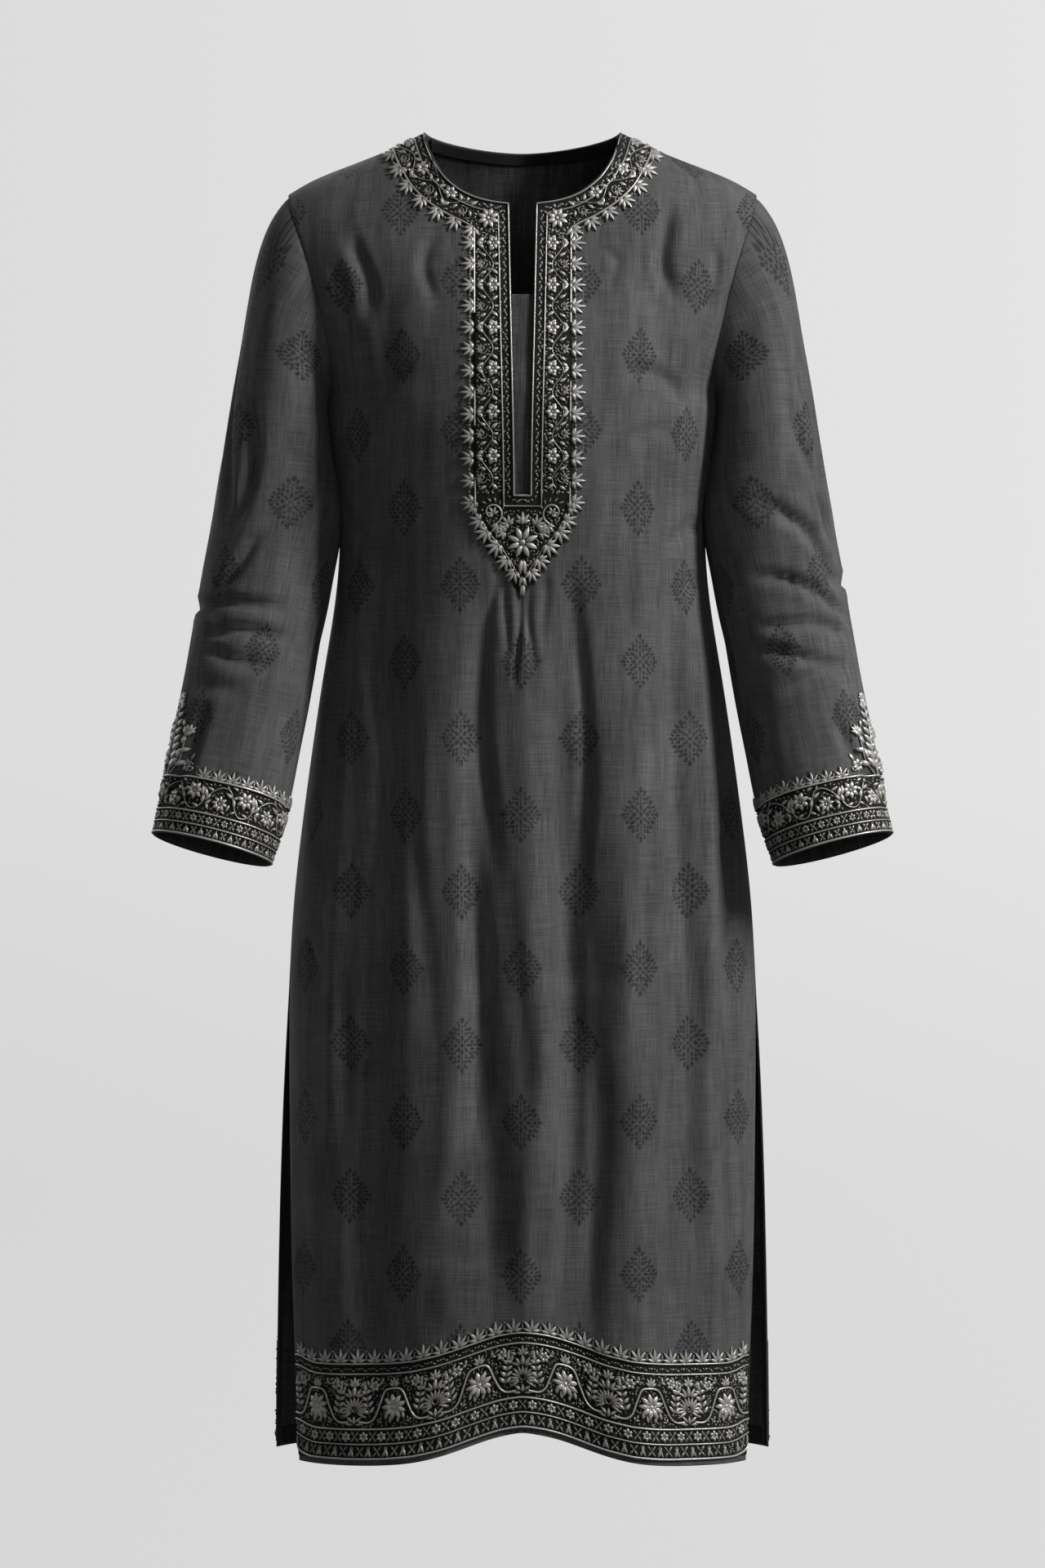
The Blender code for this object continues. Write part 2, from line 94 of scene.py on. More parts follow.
def node(tree, kind, links=(), out=0, **settings):
    """Adds a node and gives back one of its outputs. Settings name its properties, and `links` gives its
    inputs, in order or by name, as values or as other nodes' outputs."""
    made = tree.nodes.new("ShaderNode" + kind)
    for name, value in settings.items():
        setattr(made, name, value)
    for socket, value in (links if isinstance(links, dict) else dict(enumerate(links))).items():
        if isinstance(value, bpy.types.NodeSocket):
            tree.links.new(value, made.inputs[socket])
        else:
            made.inputs[socket].default_value = value
    return made.outputs[out]


def new_finish(name, **values):
    """A material with its Principled shader's constant values set on the shader's own sockets."""
    finish = bpy.data.materials.new(name)
    finish.use_nodes = True
    shader = finish.node_tree.nodes["Principled BSDF"]
    for socket, value in values.items():
        shader.inputs[socket.replace("_", " ")].default_value = value
    return finish, finish.node_tree, shader

# %% [markdown]
# ## Room and light
# A real studio would hang the garment before a curved paper sweep. Here the sweep is turned all the way
# round, one profile spun about the garment, so that it is behind the garment from every side.
# The sweep gives its own glow, with painted shade that makes it a little darker at one side and towards the
# floor, and casts no light.
# The key light is broad and soft, high at the wearer's left. Weak lights from the front, from the other
# side and from behind fill its shadows.

# %% Room
FLOOR = -1.5
ROOM_RADIUS = 9.0
SWEEP_RADIUS = 3.0
ROOM_HEIGHT = 9.0


def mesh_from(shape, name):
    """Writes an edited shape to a new mesh, and frees it."""
    mesh = bpy.data.meshes.new(name)
    shape.to_mesh(mesh)
    shape.free()
    return mesh


def all_of(shape):
    return shape.verts[:] + shape.edges[:] + shape.faces[:]


room_mesh = bmesh.new()
corner = Vector((ROOM_RADIUS - SWEEP_RADIUS, 0, FLOOR + SWEEP_RADIUS))
start = room_mesh.verts.new((0, 0, FLOOR))
turn_start = room_mesh.verts.new((corner.x, 0, FLOOR))
made = bmesh.ops.spin(
    room_mesh, geom=[turn_start], cent=corner, axis=(0, 1, 0), dvec=(0, 0, 0), angle=-math.pi / 2, steps=16)
top = [item for item in made["geom_last"] if isinstance(item, bmesh.types.BMVert)][0]
wall_top = room_mesh.verts.new((ROOM_RADIUS, 0, ROOM_HEIGHT))
room_mesh.edges.new((start, turn_start))
room_mesh.edges.new((top, wall_top))
bmesh.ops.spin(room_mesh, geom=all_of(room_mesh), cent=(0, 0, 0), axis=(0, 0, 1), dvec=(0, 0, 0),
               angle=2 * math.pi, steps=96, use_merge=True)
bmesh.ops.remove_doubles(room_mesh, verts=room_mesh.verts[:], dist=MM)
bmesh.ops.recalc_face_normals(room_mesh, faces=room_mesh.faces[:])
room = add_object("paper_sweep", mesh_from(room_mesh, "paper_sweep"))
room.data.shade_smooth()
paper, tree, shader = new_finish("seamless paper, matt", Base_Color=(0, 0, 0, 1), Roughness=1.0)
shader.inputs["Specular IOR Level"].default_value = 0
spot = node(tree, "TexCoord", out="Object")
# Painted shade: the glow is a little darker towards the left side and lower down.
across = node(tree, "MapRange", (node(tree, "SeparateXYZ", (spot,), "X"), -2.0, 2.0))
rise = node(tree, "MapRange", (node(tree, "SeparateXYZ", (spot,), "Z"), -1.9, -0.5, 0.9, 1.0))
shade = node(tree, "Mix", {0: across, 6: colour("#dbdbdb"), 7: colour("#e5e5e5")}, 2, data_type="RGBA")
tree.links.new(shade, shader.inputs["Emission Color"])
tree.links.new(rise, shader.inputs["Emission Strength"])
room.data.materials.append(paper)
room.visible_diffuse = room.visible_glossy = room.visible_transmission = room.visible_shadow = False

# %% Lights
def area_light(name, place, target, size, power):
    lamp = add_object(name, bpy.data.lights.new(name, "AREA"))
    lamp.data.shape = "RECTANGLE"
    lamp.data.size, lamp.data.size_y = size
    lamp.data.energy = power
    lamp.location = place
    lamp.rotation_euler = (Vector(target) - Vector(place)).to_track_quat("-Z", "Y").to_euler()
    lamp.visible_camera = False


area_light("key", (2.9, -1.5, 1.7), (0, 0, -0.55), (0.7, 1.1), 140)
area_light("front_fill", (1.3, -4.0, 0.8), (0.1, 0, -0.6), (1.8, 1.8), 9.5)
area_light("left_rim", (-2.4, 1.2, 0.6), (0, 0, -0.5), (0.8, 1.8), 9)
area_light("back_fill", (-1.8, 4.2, 0.9), (0, 0, -0.6), (2.0, 2.0), 34)
world = bpy.data.worlds.new("soft daylight")
world.use_nodes = True
sky = world.node_tree.nodes["Background"]
sky.inputs["Color"].default_value = (0.8, 0.8, 0.8, 1)
sky.inputs["Strength"].default_value = 0.13
bpy.context.scene.world = world
bpy.context.scene.view_settings.view_transform = "Standard"

# %% [markdown]
# ## From a faceted shell to smooth cloth
# Each cloth node is a closed wall of loose triangles. A copy is merged, the skin on its outer side is
# kept, and pairs of triangles are joined to four-sided faces, because a Subdivision Surface runs smoothly
# only over those. Corners where two seams meet are pinned, so that neighbouring pieces still meet there.

# %% Take the outer skin of a node
SKIN_BEND = math.radians(52)


def outer_skin(name, toward):
    """The outer side of a node's wall, grown face by face from the face farthest along `toward`."""
    skin = bmesh.new()
    skin.from_mesh(bpy.data.objects[name].data)
    bmesh.ops.remove_doubles(skin, verts=skin.verts[:], dist=0.02 * MM)
    skin.normal_update()
    toward = Vector(toward)
    first = max(skin.faces, key=lambda face: (face.calc_center_median() + 0.02 * face.normal).dot(toward))
    kept, growing = {first}, [first]
    while growing:
        for edge in growing.pop().edges:
            for other in edge.link_faces:
                if other not in kept and edge.calc_face_angle(math.pi) < SKIN_BEND:
                    kept.add(other)
                    growing.append(other)
    bmesh.ops.delete(skin, geom=[face for face in skin.faces if face not in kept], context="FACES")
    bmesh.ops.join_triangles(skin, faces=skin.faces[:], angle_face_threshold=math.radians(60),
                             angle_shape_threshold=math.radians(80))
    skin.normal_update()
    print(f"{name}: {len(skin.faces)} faces, {sum(face.calc_area() for face in skin.faces):.3f} m2")
    return skin

# %% [markdown]
# ## The cut, laid flat
# Weave and print follow the cloth, not the room, so every sheet carries a UV map in metres of flat cloth.
# On a body panel, u is the length of cloth from the centre line at one height, and v the height, which
# grows a little over the shoulders. On a sleeve, u goes round it and v runs down along its middle line.

# %% Flat coordinates of the cloth
CHEST_LINE = -0.232
SLEEVE_MIDDLE = (
    (0.178, 0.002, -0.130), (0.194, 0, -0.158), (0.202, -0.002, -0.190), (0.204, -0.005, -0.228),
    (0.2055, -0.009, -0.275), (0.209, -0.013, -0.320), (0.214, -0.018, -0.361), (0.219, -0.023, -0.399),
    (0.2255, -0.029, -0.437), (0.233, -0.036, -0.481), (0.2415, -0.043, -0.5265), (0.2485, -0.049, -0.5615),
    (0.2585, -0.055, -0.6045), (0.2635, -0.058, -0.630),
)
SLEEVE_RADIUS = 0.056
SLEEVE_ROUND = 2 * math.pi * SLEEVE_RADIUS


def panel_flat(skin, facing):
    """Flat coordinates by measuring the cloth with rays from the front or the back."""
    surface = BVHTree.FromBMesh(skin)
    away = Vector((0, facing, 0))

    def depth(x, z):
        hit = surface.ray_cast(Vector((x, 0, z)) + away, -away, 1.0)[0]
        return hit.y if hit else None

    def length(points):
        total = 0
        for (a, b), (c, d) in zip(points, points[1:]):
            total += math.hypot(c - a, d - b) if b is not None and d is not None else abs(c - a)
        return total

    def flat(point):
        steps = 24
        across = [(point.x * i / steps, depth(point.x * i / steps, point.z)) for i in range(steps)]
        u = length(across + [(point.x, point.y)])
        v = point.z
        if point.z > CHEST_LINE:
            rise = [CHEST_LINE + (point.z - CHEST_LINE) * i / steps for i in range(steps)]
            v = CHEST_LINE + length([(z, depth(point.x, z)) for z in rise] + [(point.z, point.y)])
        return math.copysign(u, point.x), v

    return flat


def sleeve_flat(side):
    """Flat coordinates round and along a sleeve, with u = 0 on its outer line."""
    middle = [Vector((side * x, y, z)) for x, y, z in SLEEVE_MIDDLE]

    def flat(point):
        best = None
        travelled = 0
        for start, end in zip(middle, middle[1:]):
            line = end - start
            share = min(max((point - start).dot(line) / line.length_squared, 0), 1)
            near = start + line * share
            distance = (point - near).length
            if best is None or distance < best[0]:
                best = distance, near, line.normalized(), travelled + line.length * share
            travelled += line.length
        _, near, line, along = best
        outward = Vector((side, 0, 0))
        outward = (outward - line * outward.dot(line)).normalized()
        forward = line.cross(outward) * side
        spoke = point - near
        return math.atan2(-spoke.dot(forward), spoke.dot(outward)) * SLEEVE_RADIUS, -along

    return flat


def write_flat_map(skin, flat, period=None):
    layer = skin.loops.layers.uv.new("cloth")
    places = {vertex: flat(vertex.co) for vertex in skin.verts}
    for face in skin.faces:
        around = [places[loop.vert][0] for loop in face.loops]
        for loop, u in zip(face.loops, around):
            if period and max(around) - u > period / 2:
                u += period
            loop[layer].uv = (u, places[loop.vert][1])

# %% [markdown]
# ## Slub linen with a block print
# Linen yarn is uneven: it thickens into slubs, which show as short light and dark streaks both along and
# across the cloth. Washed linen is matt with a soft sheen at a grazing angle. The small diamond of leaves
# and dots is printed by hand with a block, in slate, in rows that drop by half from one to the next, and
# the ink sits unevenly on the slubs. It is drawn in one quarter with a few ellipses and mirrored.

# %% Patterns of cloth
def weighted_sum(tree, *parts):
    """The sum of values, each times its share."""
    total = None
    for value, share in parts:
        value = node(tree, "Math", (value, share), operation="MULTIPLY")
        total = value if total is None else node(tree, "Math", (total, value), operation="ADD")
    return total


def three_tones(tree, value, limits, dark, base, light):
    """Dark, base and light where the value is at each of its three limits, and blended between them."""
    low, middle, high = limits
    shade = colour(dark)
    for start, end, tone in ((low, middle, base), (middle, high, light)):
        share = node(tree, "MapRange", (value, start, end))
        shade = node(tree, "Mix", {0: share, 6: shade, 7: colour(tone)}, 2, data_type="RGBA")
    return shade


def streaks(tree, flat, across, along):
    """Noise drawn out along the yarns: `across` and `along` are a streak's width and length in mm."""
    stretched = node(tree, "Mapping", {"Vector": flat, "Scale": (1000 / across, 1000 / along, 1)})
    return node(tree, "TexNoise", {"Vector": stretched, "Scale": 1.0, "Detail": 2.0})


def weave(tree, flat, pitch):
    """Over-and-under threads of a plain weave: 1 on top of a thread and 0 between two."""
    scaled = node(tree, "Mapping", {"Vector": flat, "Scale": (math.pi / (pitch * MM),) * 3})
    threads = []
    for axis in ("X", "Y"):
        wave = node(tree, "Math", (node(tree, "SeparateXYZ", (scaled,), axis),), operation="SINE")
        threads.append(node(tree, "Math", (wave,), operation="ABSOLUTE"))
    return node(tree, "Math", threads, operation="MULTIPLY")


def colour_and_relief(tree, shader, shade, height, strength, distance):
    tree.links.new(shade, shader.inputs["Base Color"])
    relief = node(tree, "Bump", {"Height": height, "Strength": strength, "Distance": distance})
    tree.links.new(relief, shader.inputs["Normal"])

# %% The block print
PRINT_ACROSS = 50
PRINT_DOWN = 63
PRINT_SHIFT = (0, 70)
INK_BLEED = 2.6
PRINT_QUARTER = (
    (0, 0, 0, 1.9, 1.9), (3.4, 3.6, 48, 2.6, 1.5), (0, 6.0, 90, 2.6, 1.5), (6.0, 0, 0, 2.3, 1.5),
    (0, 12.5, 90, 5.5, 0.55), (8.6, 2.9, 20, 1.7, 1.3), (7.2, 6.4, 40, 2.4, 1.5), (3.2, 9.3, 65, 1.9, 1.4),
    (10.9, 0, 0, 1.5, 1.5), (0, 20.5, 90, 3.0, 1.8), (3.0, 17.4, 60, 2.7, 1.3), (3.4, 13.2, 55, 1.7, 1.4),
    (6.4, 13.4, 50, 2.3, 1.4), (6.3, 10.2, 50, 1.4, 1.3), (9.4, 10.0, 45, 2.4, 1.5),
    (11.4, 6.2, 30, 2.4, 1.5), (14.8, 0, 0, 2.6, 1.7), (13.2, 3.2, 25, 2.1, 1.2),
)


def printed(tree, flat):
    """1 where the block's ink lies and 0 between the motifs."""
    in_mm = node(tree, "Mapping", {"Vector": flat, "Scale": (1000, 1000, 0), "Location": (*PRINT_SHIFT, 0)})
    ragged = node(tree, "TexNoise", {"Vector": in_mm, "Scale": 0.5, "Detail": 2.0}, "Color")
    ragged = node(tree, "VectorMath", (ragged, (INK_BLEED, INK_BLEED, 0)), operation="MULTIPLY")
    moved = node(tree, "VectorMath", (in_mm, ragged), operation="ADD")
    far = Vector((PRINT_ACROSS, PRINT_DOWN, 1))
    cell = node(tree, "VectorMath", (moved, far, -far), operation="WRAP")
    near = node(tree, "VectorMath", (cell,), operation="ABSOLUTE")
    other = node(tree, "VectorMath", (near, far), operation="SUBTRACT")
    other = node(tree, "VectorMath", (other,), operation="ABSOLUTE")
    beside_it = node(
        tree, "Math", (node(tree, "SeparateXYZ", (near,), "X"), PRINT_ACROSS / 2), operation="GREATER_THAN")
    quarter = node(tree, "Mix", {0: beside_it, 6: near, 7: other}, 2, data_type="RGBA")
    nearest = None
    for x, y, turn, long, wide in PRINT_QUARTER:
        leaf = node(tree, "Mapping", {
            "Vector": quarter, "Location": (x, y, 0), "Rotation": (0, 0, math.radians(turn)),
            "Scale": (long, wide, 1000)}, vector_type="TEXTURE")
        reach = node(tree, "VectorMath", (leaf,), "Value", operation="LENGTH")
        nearest = reach if nearest is None else node(tree, "Math", (nearest, reach), operation="MINIMUM")
    return node(tree, "MapRange", (nearest, 1.08, 0.74))

# %% Linen finishes
# A real thread of this linen is about half a millimetre. It is drawn coarser, so that the weave shows.
THREAD_PITCH = 0.9


def linen_finish(name, base, light, dark, ink):
    """Slub linen in three tones, with the print in a fourth, or with no print where ink is None."""
    finish, tree, shader = new_finish(name, Roughness=0.82, Sheen_Weight=0.12, Sheen_Roughness=0.4)
    shader.inputs["Specular IOR Level"].default_value = 0.3
    flat = node(tree, "UVMap", uv_map="cloth")
    yarn = weighted_sum(tree, (streaks(tree, flat, 0.8, 26), 0.55), (streaks(tree, flat, 30, 0.8), 0.45))
    broad = streaks(tree, flat, 9, 120)
    wash = node(tree, "TexNoise", {"Vector": flat, "Scale": 16.0, "Detail": 3.0})
    tone = weighted_sum(tree, (yarn, 0.62), (broad, 0.2), (wash, 0.18))
    shade = three_tones(tree, tone, (0.36, 0.5, 0.66), dark, base, light)
    if ink:
        sits = node(tree, "MapRange", (yarn, 0.62, 0.4, 0.45, 0.9))
        mark = node(tree, "Math", (printed(tree, flat), sits), operation="MULTIPLY")
        shade = node(tree, "Mix", {0: mark, 6: shade, 7: colour(ink)}, 2, data_type="RGBA")
    height = weighted_sum(tree, (weave(tree, flat, THREAD_PITCH), 0.5), (yarn, 1.0))
    colour_and_relief(tree, shader, shade, height, 0.35, 0.5 * MM)
    return finish


linen = linen_finish(
    "slub linen, woven, washed and block-printed", "#595859", "#747374", "#3a393a", "#1d1f26")
wrong_side = linen_finish("slub linen, woven, wrong side", "#474748", "#707071", "#1f1f20", None)

# %% [markdown]
# ## Creases
# Big folds are already in the panels. The small ones are laid on one by one, each as a line across the flat
# cloth with its own width and depth: a soft trough with a low shoulder on both sides that dies away at
# its ends. They are uneven on purpose, and they fade out before a seam, so that the seams stay closed.

# %% Smooth sheets with creases
SEAM_REST = 0.018
FOLD_WIDTH = 13
CLOTH_SWELL = ((0.05, 0.16, 0.0018, 1.5), (0.018, 0.05, 0.0006, 7.5))


def smooth_mesh(skin, name, levels):
    """Subdivides a skin to smooth cloth, with its seam corners pinned, and frees the skin."""
    pinned = skin.verts.layers.float.new("crease_vert")
    for vertex in skin.verts:
        rim = [edge for edge in vertex.link_edges if edge.is_boundary]
        if len(rim) == 2:
            ways = [(edge.other_vert(vertex).co - vertex.co).normalized() for edge in rim]
            if ways[0].dot(ways[1]) > -0.6:
                vertex[pinned] = 1
    holder = add_object(name + "_rough", mesh_from(skin, name))
    divide = holder.modifiers.new("smooth", "SUBSURF")
    divide.levels = divide.render_levels = levels
    divide.boundary_smooth = "PRESERVE_CORNERS"
    bpy.context.view_layer.update()
    smooth = bpy.data.meshes.new_from_object(holder.evaluated_get(bpy.context.evaluated_depsgraph_get()))
    bpy.data.objects.remove(holder)
    smooth.name = name
    return smooth


def read(items, field, wide):
    """One field of every item, as rows of an array."""
    values = np.empty(len(items) * wide)
    items.foreach_get(field, values)
    return values.reshape(-1, wide)


def press_creases(mesh, creases, crease_strength):
    """Moves each vertex along its normal by the creases near it, and by a soft, wide unevenness."""
    count = len(mesh.vertices)
    points, normals = read(mesh.vertices, "co", 3), read(mesh.vertices, "normal", 3)
    flat = np.zeros((count, 2))
    corners = read(mesh.loops, "vertex_index", 1).astype(int).ravel()
    flat[corners] = read(mesh.uv_layers["cloth"].data, "uv", 2)
    drop = np.zeros(count)
    for u0, v0, u1, v1, width, depth in creases:
        start, end = np.array((u0, v0)) * MM, np.array((u1, v1)) * MM
        line = end - start
        length = np.linalg.norm(line)
        offset = flat - start
        share = offset @ line / length ** 2
        side = (offset @ np.array((-line[1], line[0])) / length) / (width * MM)
        bow = side + 0.5 * np.sin(share * 5 + u0)
        fade = np.clip(np.minimum(share + 0.12, 1.12 - share) / 0.42, 0, 1)
        fade = fade * fade * (3 - 2 * fade)
        strength = crease_strength if width < FOLD_WIDTH else 1
        drop += strength * depth * MM * fade * (1 - 0.9 * bow ** 2) * np.exp(-bow ** 2)
    for scale_u, scale_v, height, seed in CLOTH_SWELL:
        rough = [noise.noise(Vector((u / scale_u, v / scale_v, seed))) for u, v in flat]
        drop += np.array(rough) * height
    rims = bmesh.new()
    rims.from_mesh(mesh)
    edge_points = [vertex.co for vertex in rims.verts if vertex.is_boundary]
    tree = KDTree(len(edge_points))
    for index, point in enumerate(edge_points):
        tree.insert(point, index)
    tree.balance()
    rims.free()
    rest = np.array([tree.find(Vector(point))[2] for point in points]) / SEAM_REST
    rest = np.clip(rest, 0, 1)
    points -= normals * (drop * rest * rest * (3 - 2 * rest))[:, None]
    mesh.vertices.foreach_set("co", points.ravel())
    mesh.update()


def cloth_piece(name, mesh, replaced, finish, slot, thickness, inside=None):
    """Links a sheet, gives it its thickness inwards, and sets it in its CAD node's place."""
    piece = add_object(name, mesh)
    mesh.materials.clear()
    mesh.materials.append(finish)
    mesh.shade_smooth()
    wall = piece.modifiers.new("thickness", "SOLIDIFY")
    wall.thickness = thickness
    wall.offset = -1
    wall.use_even_offset = False
    if inside:
        mesh.materials.append(inside)
        wall.material_offset = 1
    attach(piece, "root")
    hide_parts(replaced)
    return piece

# %% Body panels and sleeves
FRONT_CREASES = (
    (-137, -88, -132, -164, 9, 2.2), (-76, -92, -80, -150, 8, 1.6), (118, -66, 124, -146, 9, 3.2),
    (160, -98, 166, -156, 7, 1.6), (72, -104, 76, -142, 7, 1.2), (-160, -120, -150, -190, 8, 1.6),
    (150, -232, 90, -205, 10, 1.8), (-150, -240, -96, -210, 10, 1.6), (132, -262, 84, -262, 9, 1.2),
    (-12, -372, -15, -452, 4.5, 1.2), (-3, -384, -5, -470, 4.0, 1.3), (6, -384, 8, -456, 4.5, 1.2),
    (16, -374, 20, -440, 5, 1.0), (-22, -366, -28, -430, 5, 0.9),
    (46, -380, 52, -640, 9, 2.4), (40, -600, 36, -1000, 11, 2.6), (60, -760, 66, -1010, 12, 1.6),
    (-32, -390, -28, -620, 10, 2.2), (-36, -600, -44, -860, 11, 1.8), (-126, -330, -122, -560, 12, 2.2),
    (-118, -560, -132, -900, 14, 2.4), (-88, -480, -84, -760, 12, 1.4), (92, -470, 96, -760, 12, -1.5),
    (138, -420, 146, -760, 12, 2.2), (150, -700, 158, -1000, 13, 1.8), (-64, -880, -70, -1040, 14, 1.6),
    (8, -620, 14, -960, 12, -1.5), (100, -860, 112, -1040, 13, 1.5), (-160, -700, -166, -980, 12, 1.6),
    (-200, -640, -176, -690, 6, 1.4), (-202, -676, -172, -722, 6, 1.5), (-200, -590, -180, -632, 6, 1.0),
    (200, -650, 178, -694, 6, 1.4), (204, -690, 176, -735, 6, 1.3), (198, -560, 184, -610, 6, 1.0),
    (-178, -330, -120, -352, 9, 1.5), (176, -336, 124, -346, 9, 1.6), (-172, -372, -130, -384, 8, 1.1),
    (170, -380, 128, -398, 8, 1.2), (20, -700, 90, -716, 8, 0.6), (-90, -940, -10, -930, 9, 0.6),
)
BACK_CREASES = (
    (-120, -90, -128, -170, 10, 2.0), (124, -84, 130, -168, 10, 2.2), (-40, -60, -46, -150, 12, 1.2),
    (52, -70, 48, -160, 12, 1.3), (-150, -240, -100, -214, 10, 1.6), (150, -236, 96, -208, 10, 1.8),
    (-30, -300, -36, -560, 11, 2.4), (30, -320, 36, -600, 11, 2.0), (-100, -330, -104, -600, 12, 2.2),
    (110, -320, 114, -640, 12, 2.4), (4, -560, 0, -980, 13, -1.8), (-70, -600, -76, -1000, 13, 2.0),
    (74, -640, 82, -1030, 13, 2.2), (150, -600, 160, -1000, 13, 1.8), (-150, -560, -162, -960, 13, 2.0),
    (-176, -332, -110, -350, 9, 1.7), (174, -336, 108, -356, 9, 1.5), (-168, -376, -116, -392, 8, 1.2),
    (166, -384, 118, -398, 8, 1.2), (-60, -350, 50, -356, 10, 1.1), (-200, -650, -176, -700, 6, 1.4),
    (200, -640, 176, -696, 6, 1.4), (-46, -860, 30, -868, 9, 0.6),
)
SLEEVE_CREASES = {
    1: (
        (-30, -60, -42, -250, 10, 2.6), (-62, -120, -30, -240, 9, 2.2), (20, -70, 8, -180, 9, 1.6),
        (-92, -196, -30, -268, 9, 3.0), (-110, -258, -20, -300, 7, 2.8), (-118, -296, -30, -318, 6, 2.6),
        (-128, -322, -44, -340, 6, 2.4), (-112, -352, -36, -346, 7, 1.8), (-60, -278, 10, -262, 7, 1.8),
        (10, -300, 70, -310, 8, 1.6), (-70, -380, -20, -470, 9, 1.6), (-20, -390, 0, -480, 9, 1.2),
        (60, -200, 90, -300, 10, 1.8), (100, -250, 140, -290, 7, 2.0), (110, -300, 160, -320, 7, 2.0),
        (60, -340, 110, -350, 8, 1.4), (40, -400, 60, -480, 9, 1.2),
    ),
    -1: (
        (-28, -70, -46, -230, 10, 2.2), (-70, -110, -60, -230, 9, 2.2), (22, -60, 12, -190, 9, 1.8),
        (-90, -230, -40, -280, 8, 2.0), (-112, -280, -30, -296, 6, 2.8), (-124, -306, -40, -318, 6, 2.6),
        (-60, -300, 12, -284, 7, 1.6), (-120, -336, -40, -330, 6, 2.0), (-90, -366, -20, -352, 8, 1.4),
        (14, -316, 66, -306, 8, 1.6), (-64, -370, -30, -470, 9, 1.6), (-14, -400, 6, -480, 9, 1.2),
        (60, -190, 96, -290, 10, 1.8), (104, -250, 146, -284, 7, 2.0), (108, -310, 160, -322, 7, 2.0),
        (58, -350, 108, -344, 8, 1.4), (44, -400, 58, -470, 9, 1.2),
    ),
}
FRONT_FOLDS = (
    (45, -390, 44, -1070, 21, 5.5), (-31, -420, -36, -1010, 17, 3.6), (-122, -360, -124, -1010, 20, 4.8),
    (-60, -430, -62, -1000, 15, -3.0), (88, -420, 92, -1010, 18, -3.6), (128, -350, 134, -1000, 17, 3.8),
    (10, -640, 8, -1020, 13, -2.4), (-158, -420, -164, -1000, 13, -2.6), (160, -430, 168, -980, 12, -2.2),
    (-112, -96, -128, -230, 16, 1.6), (112, -92, 132, -230, 15, 1.8), (78, -108, 84, -230, 13, -1.2),
)
BACK_FOLDS = (
    (-50, -300, -54, -1060, 20, 5.0), (52, -330, 56, -1050, 19, 4.6), (0, -420, 2, -1040, 17, -3.4),
    (-128, -340, -130, -1020, 18, 4.2), (130, -350, 136, -1000, 18, 4.0), (-92, -420, -94, -1000, 15, -2.8),
    (96, -430, 98, -1010, 15, -2.8), (-110, -100, -126, -230, 15, 3.0), (112, -96, 128, -236, 15, 3.2),
)
LINEN_THICKNESS = 0.9 * MM
SLEEVE_CREASE_STRENGTH = 2.5
PANEL_CREASE_STRENGTH = 1.9
SLEEVE_LEAN = 9.5 * MM
LEAN_TOP, LEAN_TOP_FADE = -0.15, 0.07
LEAN_FOOT, LEAN_FOOT_FADE = -0.43, 0.11


def share_of(value):
    return min(max(value, 0), 1)


def lean_in(mesh, side):
    """Brings the inner side of a sleeve up to the body, from the armpit down to the waist."""
    normals = [vertex.normal.x for vertex in mesh.vertices]
    for vertex, normal_x in zip(mesh.vertices, normals):
        inward = share_of(-normal_x * side * 1.4 + 0.1)
        top = share_of((LEAN_TOP - vertex.co.z) / LEAN_TOP_FADE)
        low = share_of((vertex.co.z - LEAN_FOOT) / LEAN_FOOT_FADE)
        vertex.co.x -= side * SLEEVE_LEAN * inward * top * low
    mesh.update()


sheets, flat_rules = {}, {}
for name, toward, creases in (
    ("front_panel", (0, -1, 0), FRONT_CREASES + FRONT_FOLDS),
    ("back_panel", (0, 1, 0), BACK_CREASES + BACK_FOLDS),
    ("sleeve_left", (1, 0, 0), SLEEVE_CREASES[1]),
    ("sleeve_right", (-1, 0, 0), SLEEVE_CREASES[-1]),
):
    skin = outer_skin(name, toward)
    side, facing, _ = toward
    flat_rules[name] = sleeve_flat(side) if side else panel_flat(skin, facing)
    write_flat_map(skin, flat_rules[name], SLEEVE_ROUND if side else None)
    mesh = smooth_mesh(skin, name + "_cloth", 3)
    press_creases(mesh, creases, SLEEVE_CREASE_STRENGTH if side else PANEL_CREASE_STRENGTH)
    if side:
        lean_in(mesh, side)
    sheets[name] = cloth_piece(name + "_cloth", mesh, name, linen, "linen", LINEN_THICKNESS, wrong_side)
    print(name, "polygons", len(mesh.polygons))

# %% [markdown]
# ## Border grounds and inner pieces
# The embroidery is worked on strips of close black cloth that are sewn onto the linen. Each strip takes
# its outline from its own CAD skin and is laid on the finished sheet under it, so it follows the folds.
# The binding, facings and turn-up lie on the inside and are made the same way, a little inwards.

# %% Dark plain cloth
PLAIN_PITCH = 0.8


def plain_finish(name, base, light, sheen):
    """A close plain weave in two tones, with a fine even thread."""
    finish, tree, shader = new_finish(name, Roughness=0.8, Sheen_Weight=sheen, Sheen_Roughness=0.45)
    shader.inputs["Specular IOR Level"].default_value = 0.3
    flat = node(tree, "UVMap", uv_map="cloth")
    threads = weave(tree, flat, PLAIN_PITCH)
    tone = node(tree, "Math", (threads, streaks(tree, flat, 1.2, 9)), operation="MULTIPLY")
    shade = node(tree, "Mix", {0: tone, 6: colour(base), 7: colour(light)}, 2, data_type="RGBA")
    colour_and_relief(tree, shader, shade, threads, 0.5, 0.3 * MM)
    return finish


ground = plain_finish("black cotton ground, close woven", "#121211", "#2a2826", 0.05)
binding = plain_finish("charcoal cotton binding, plain woven", "#1c1c1d", "#3a3a3c", 0.15)

# %% Lay strips on the sheets
GROUND_THICKNESS = 0.5 * MM
LAY_GAP = 0.12 * MM


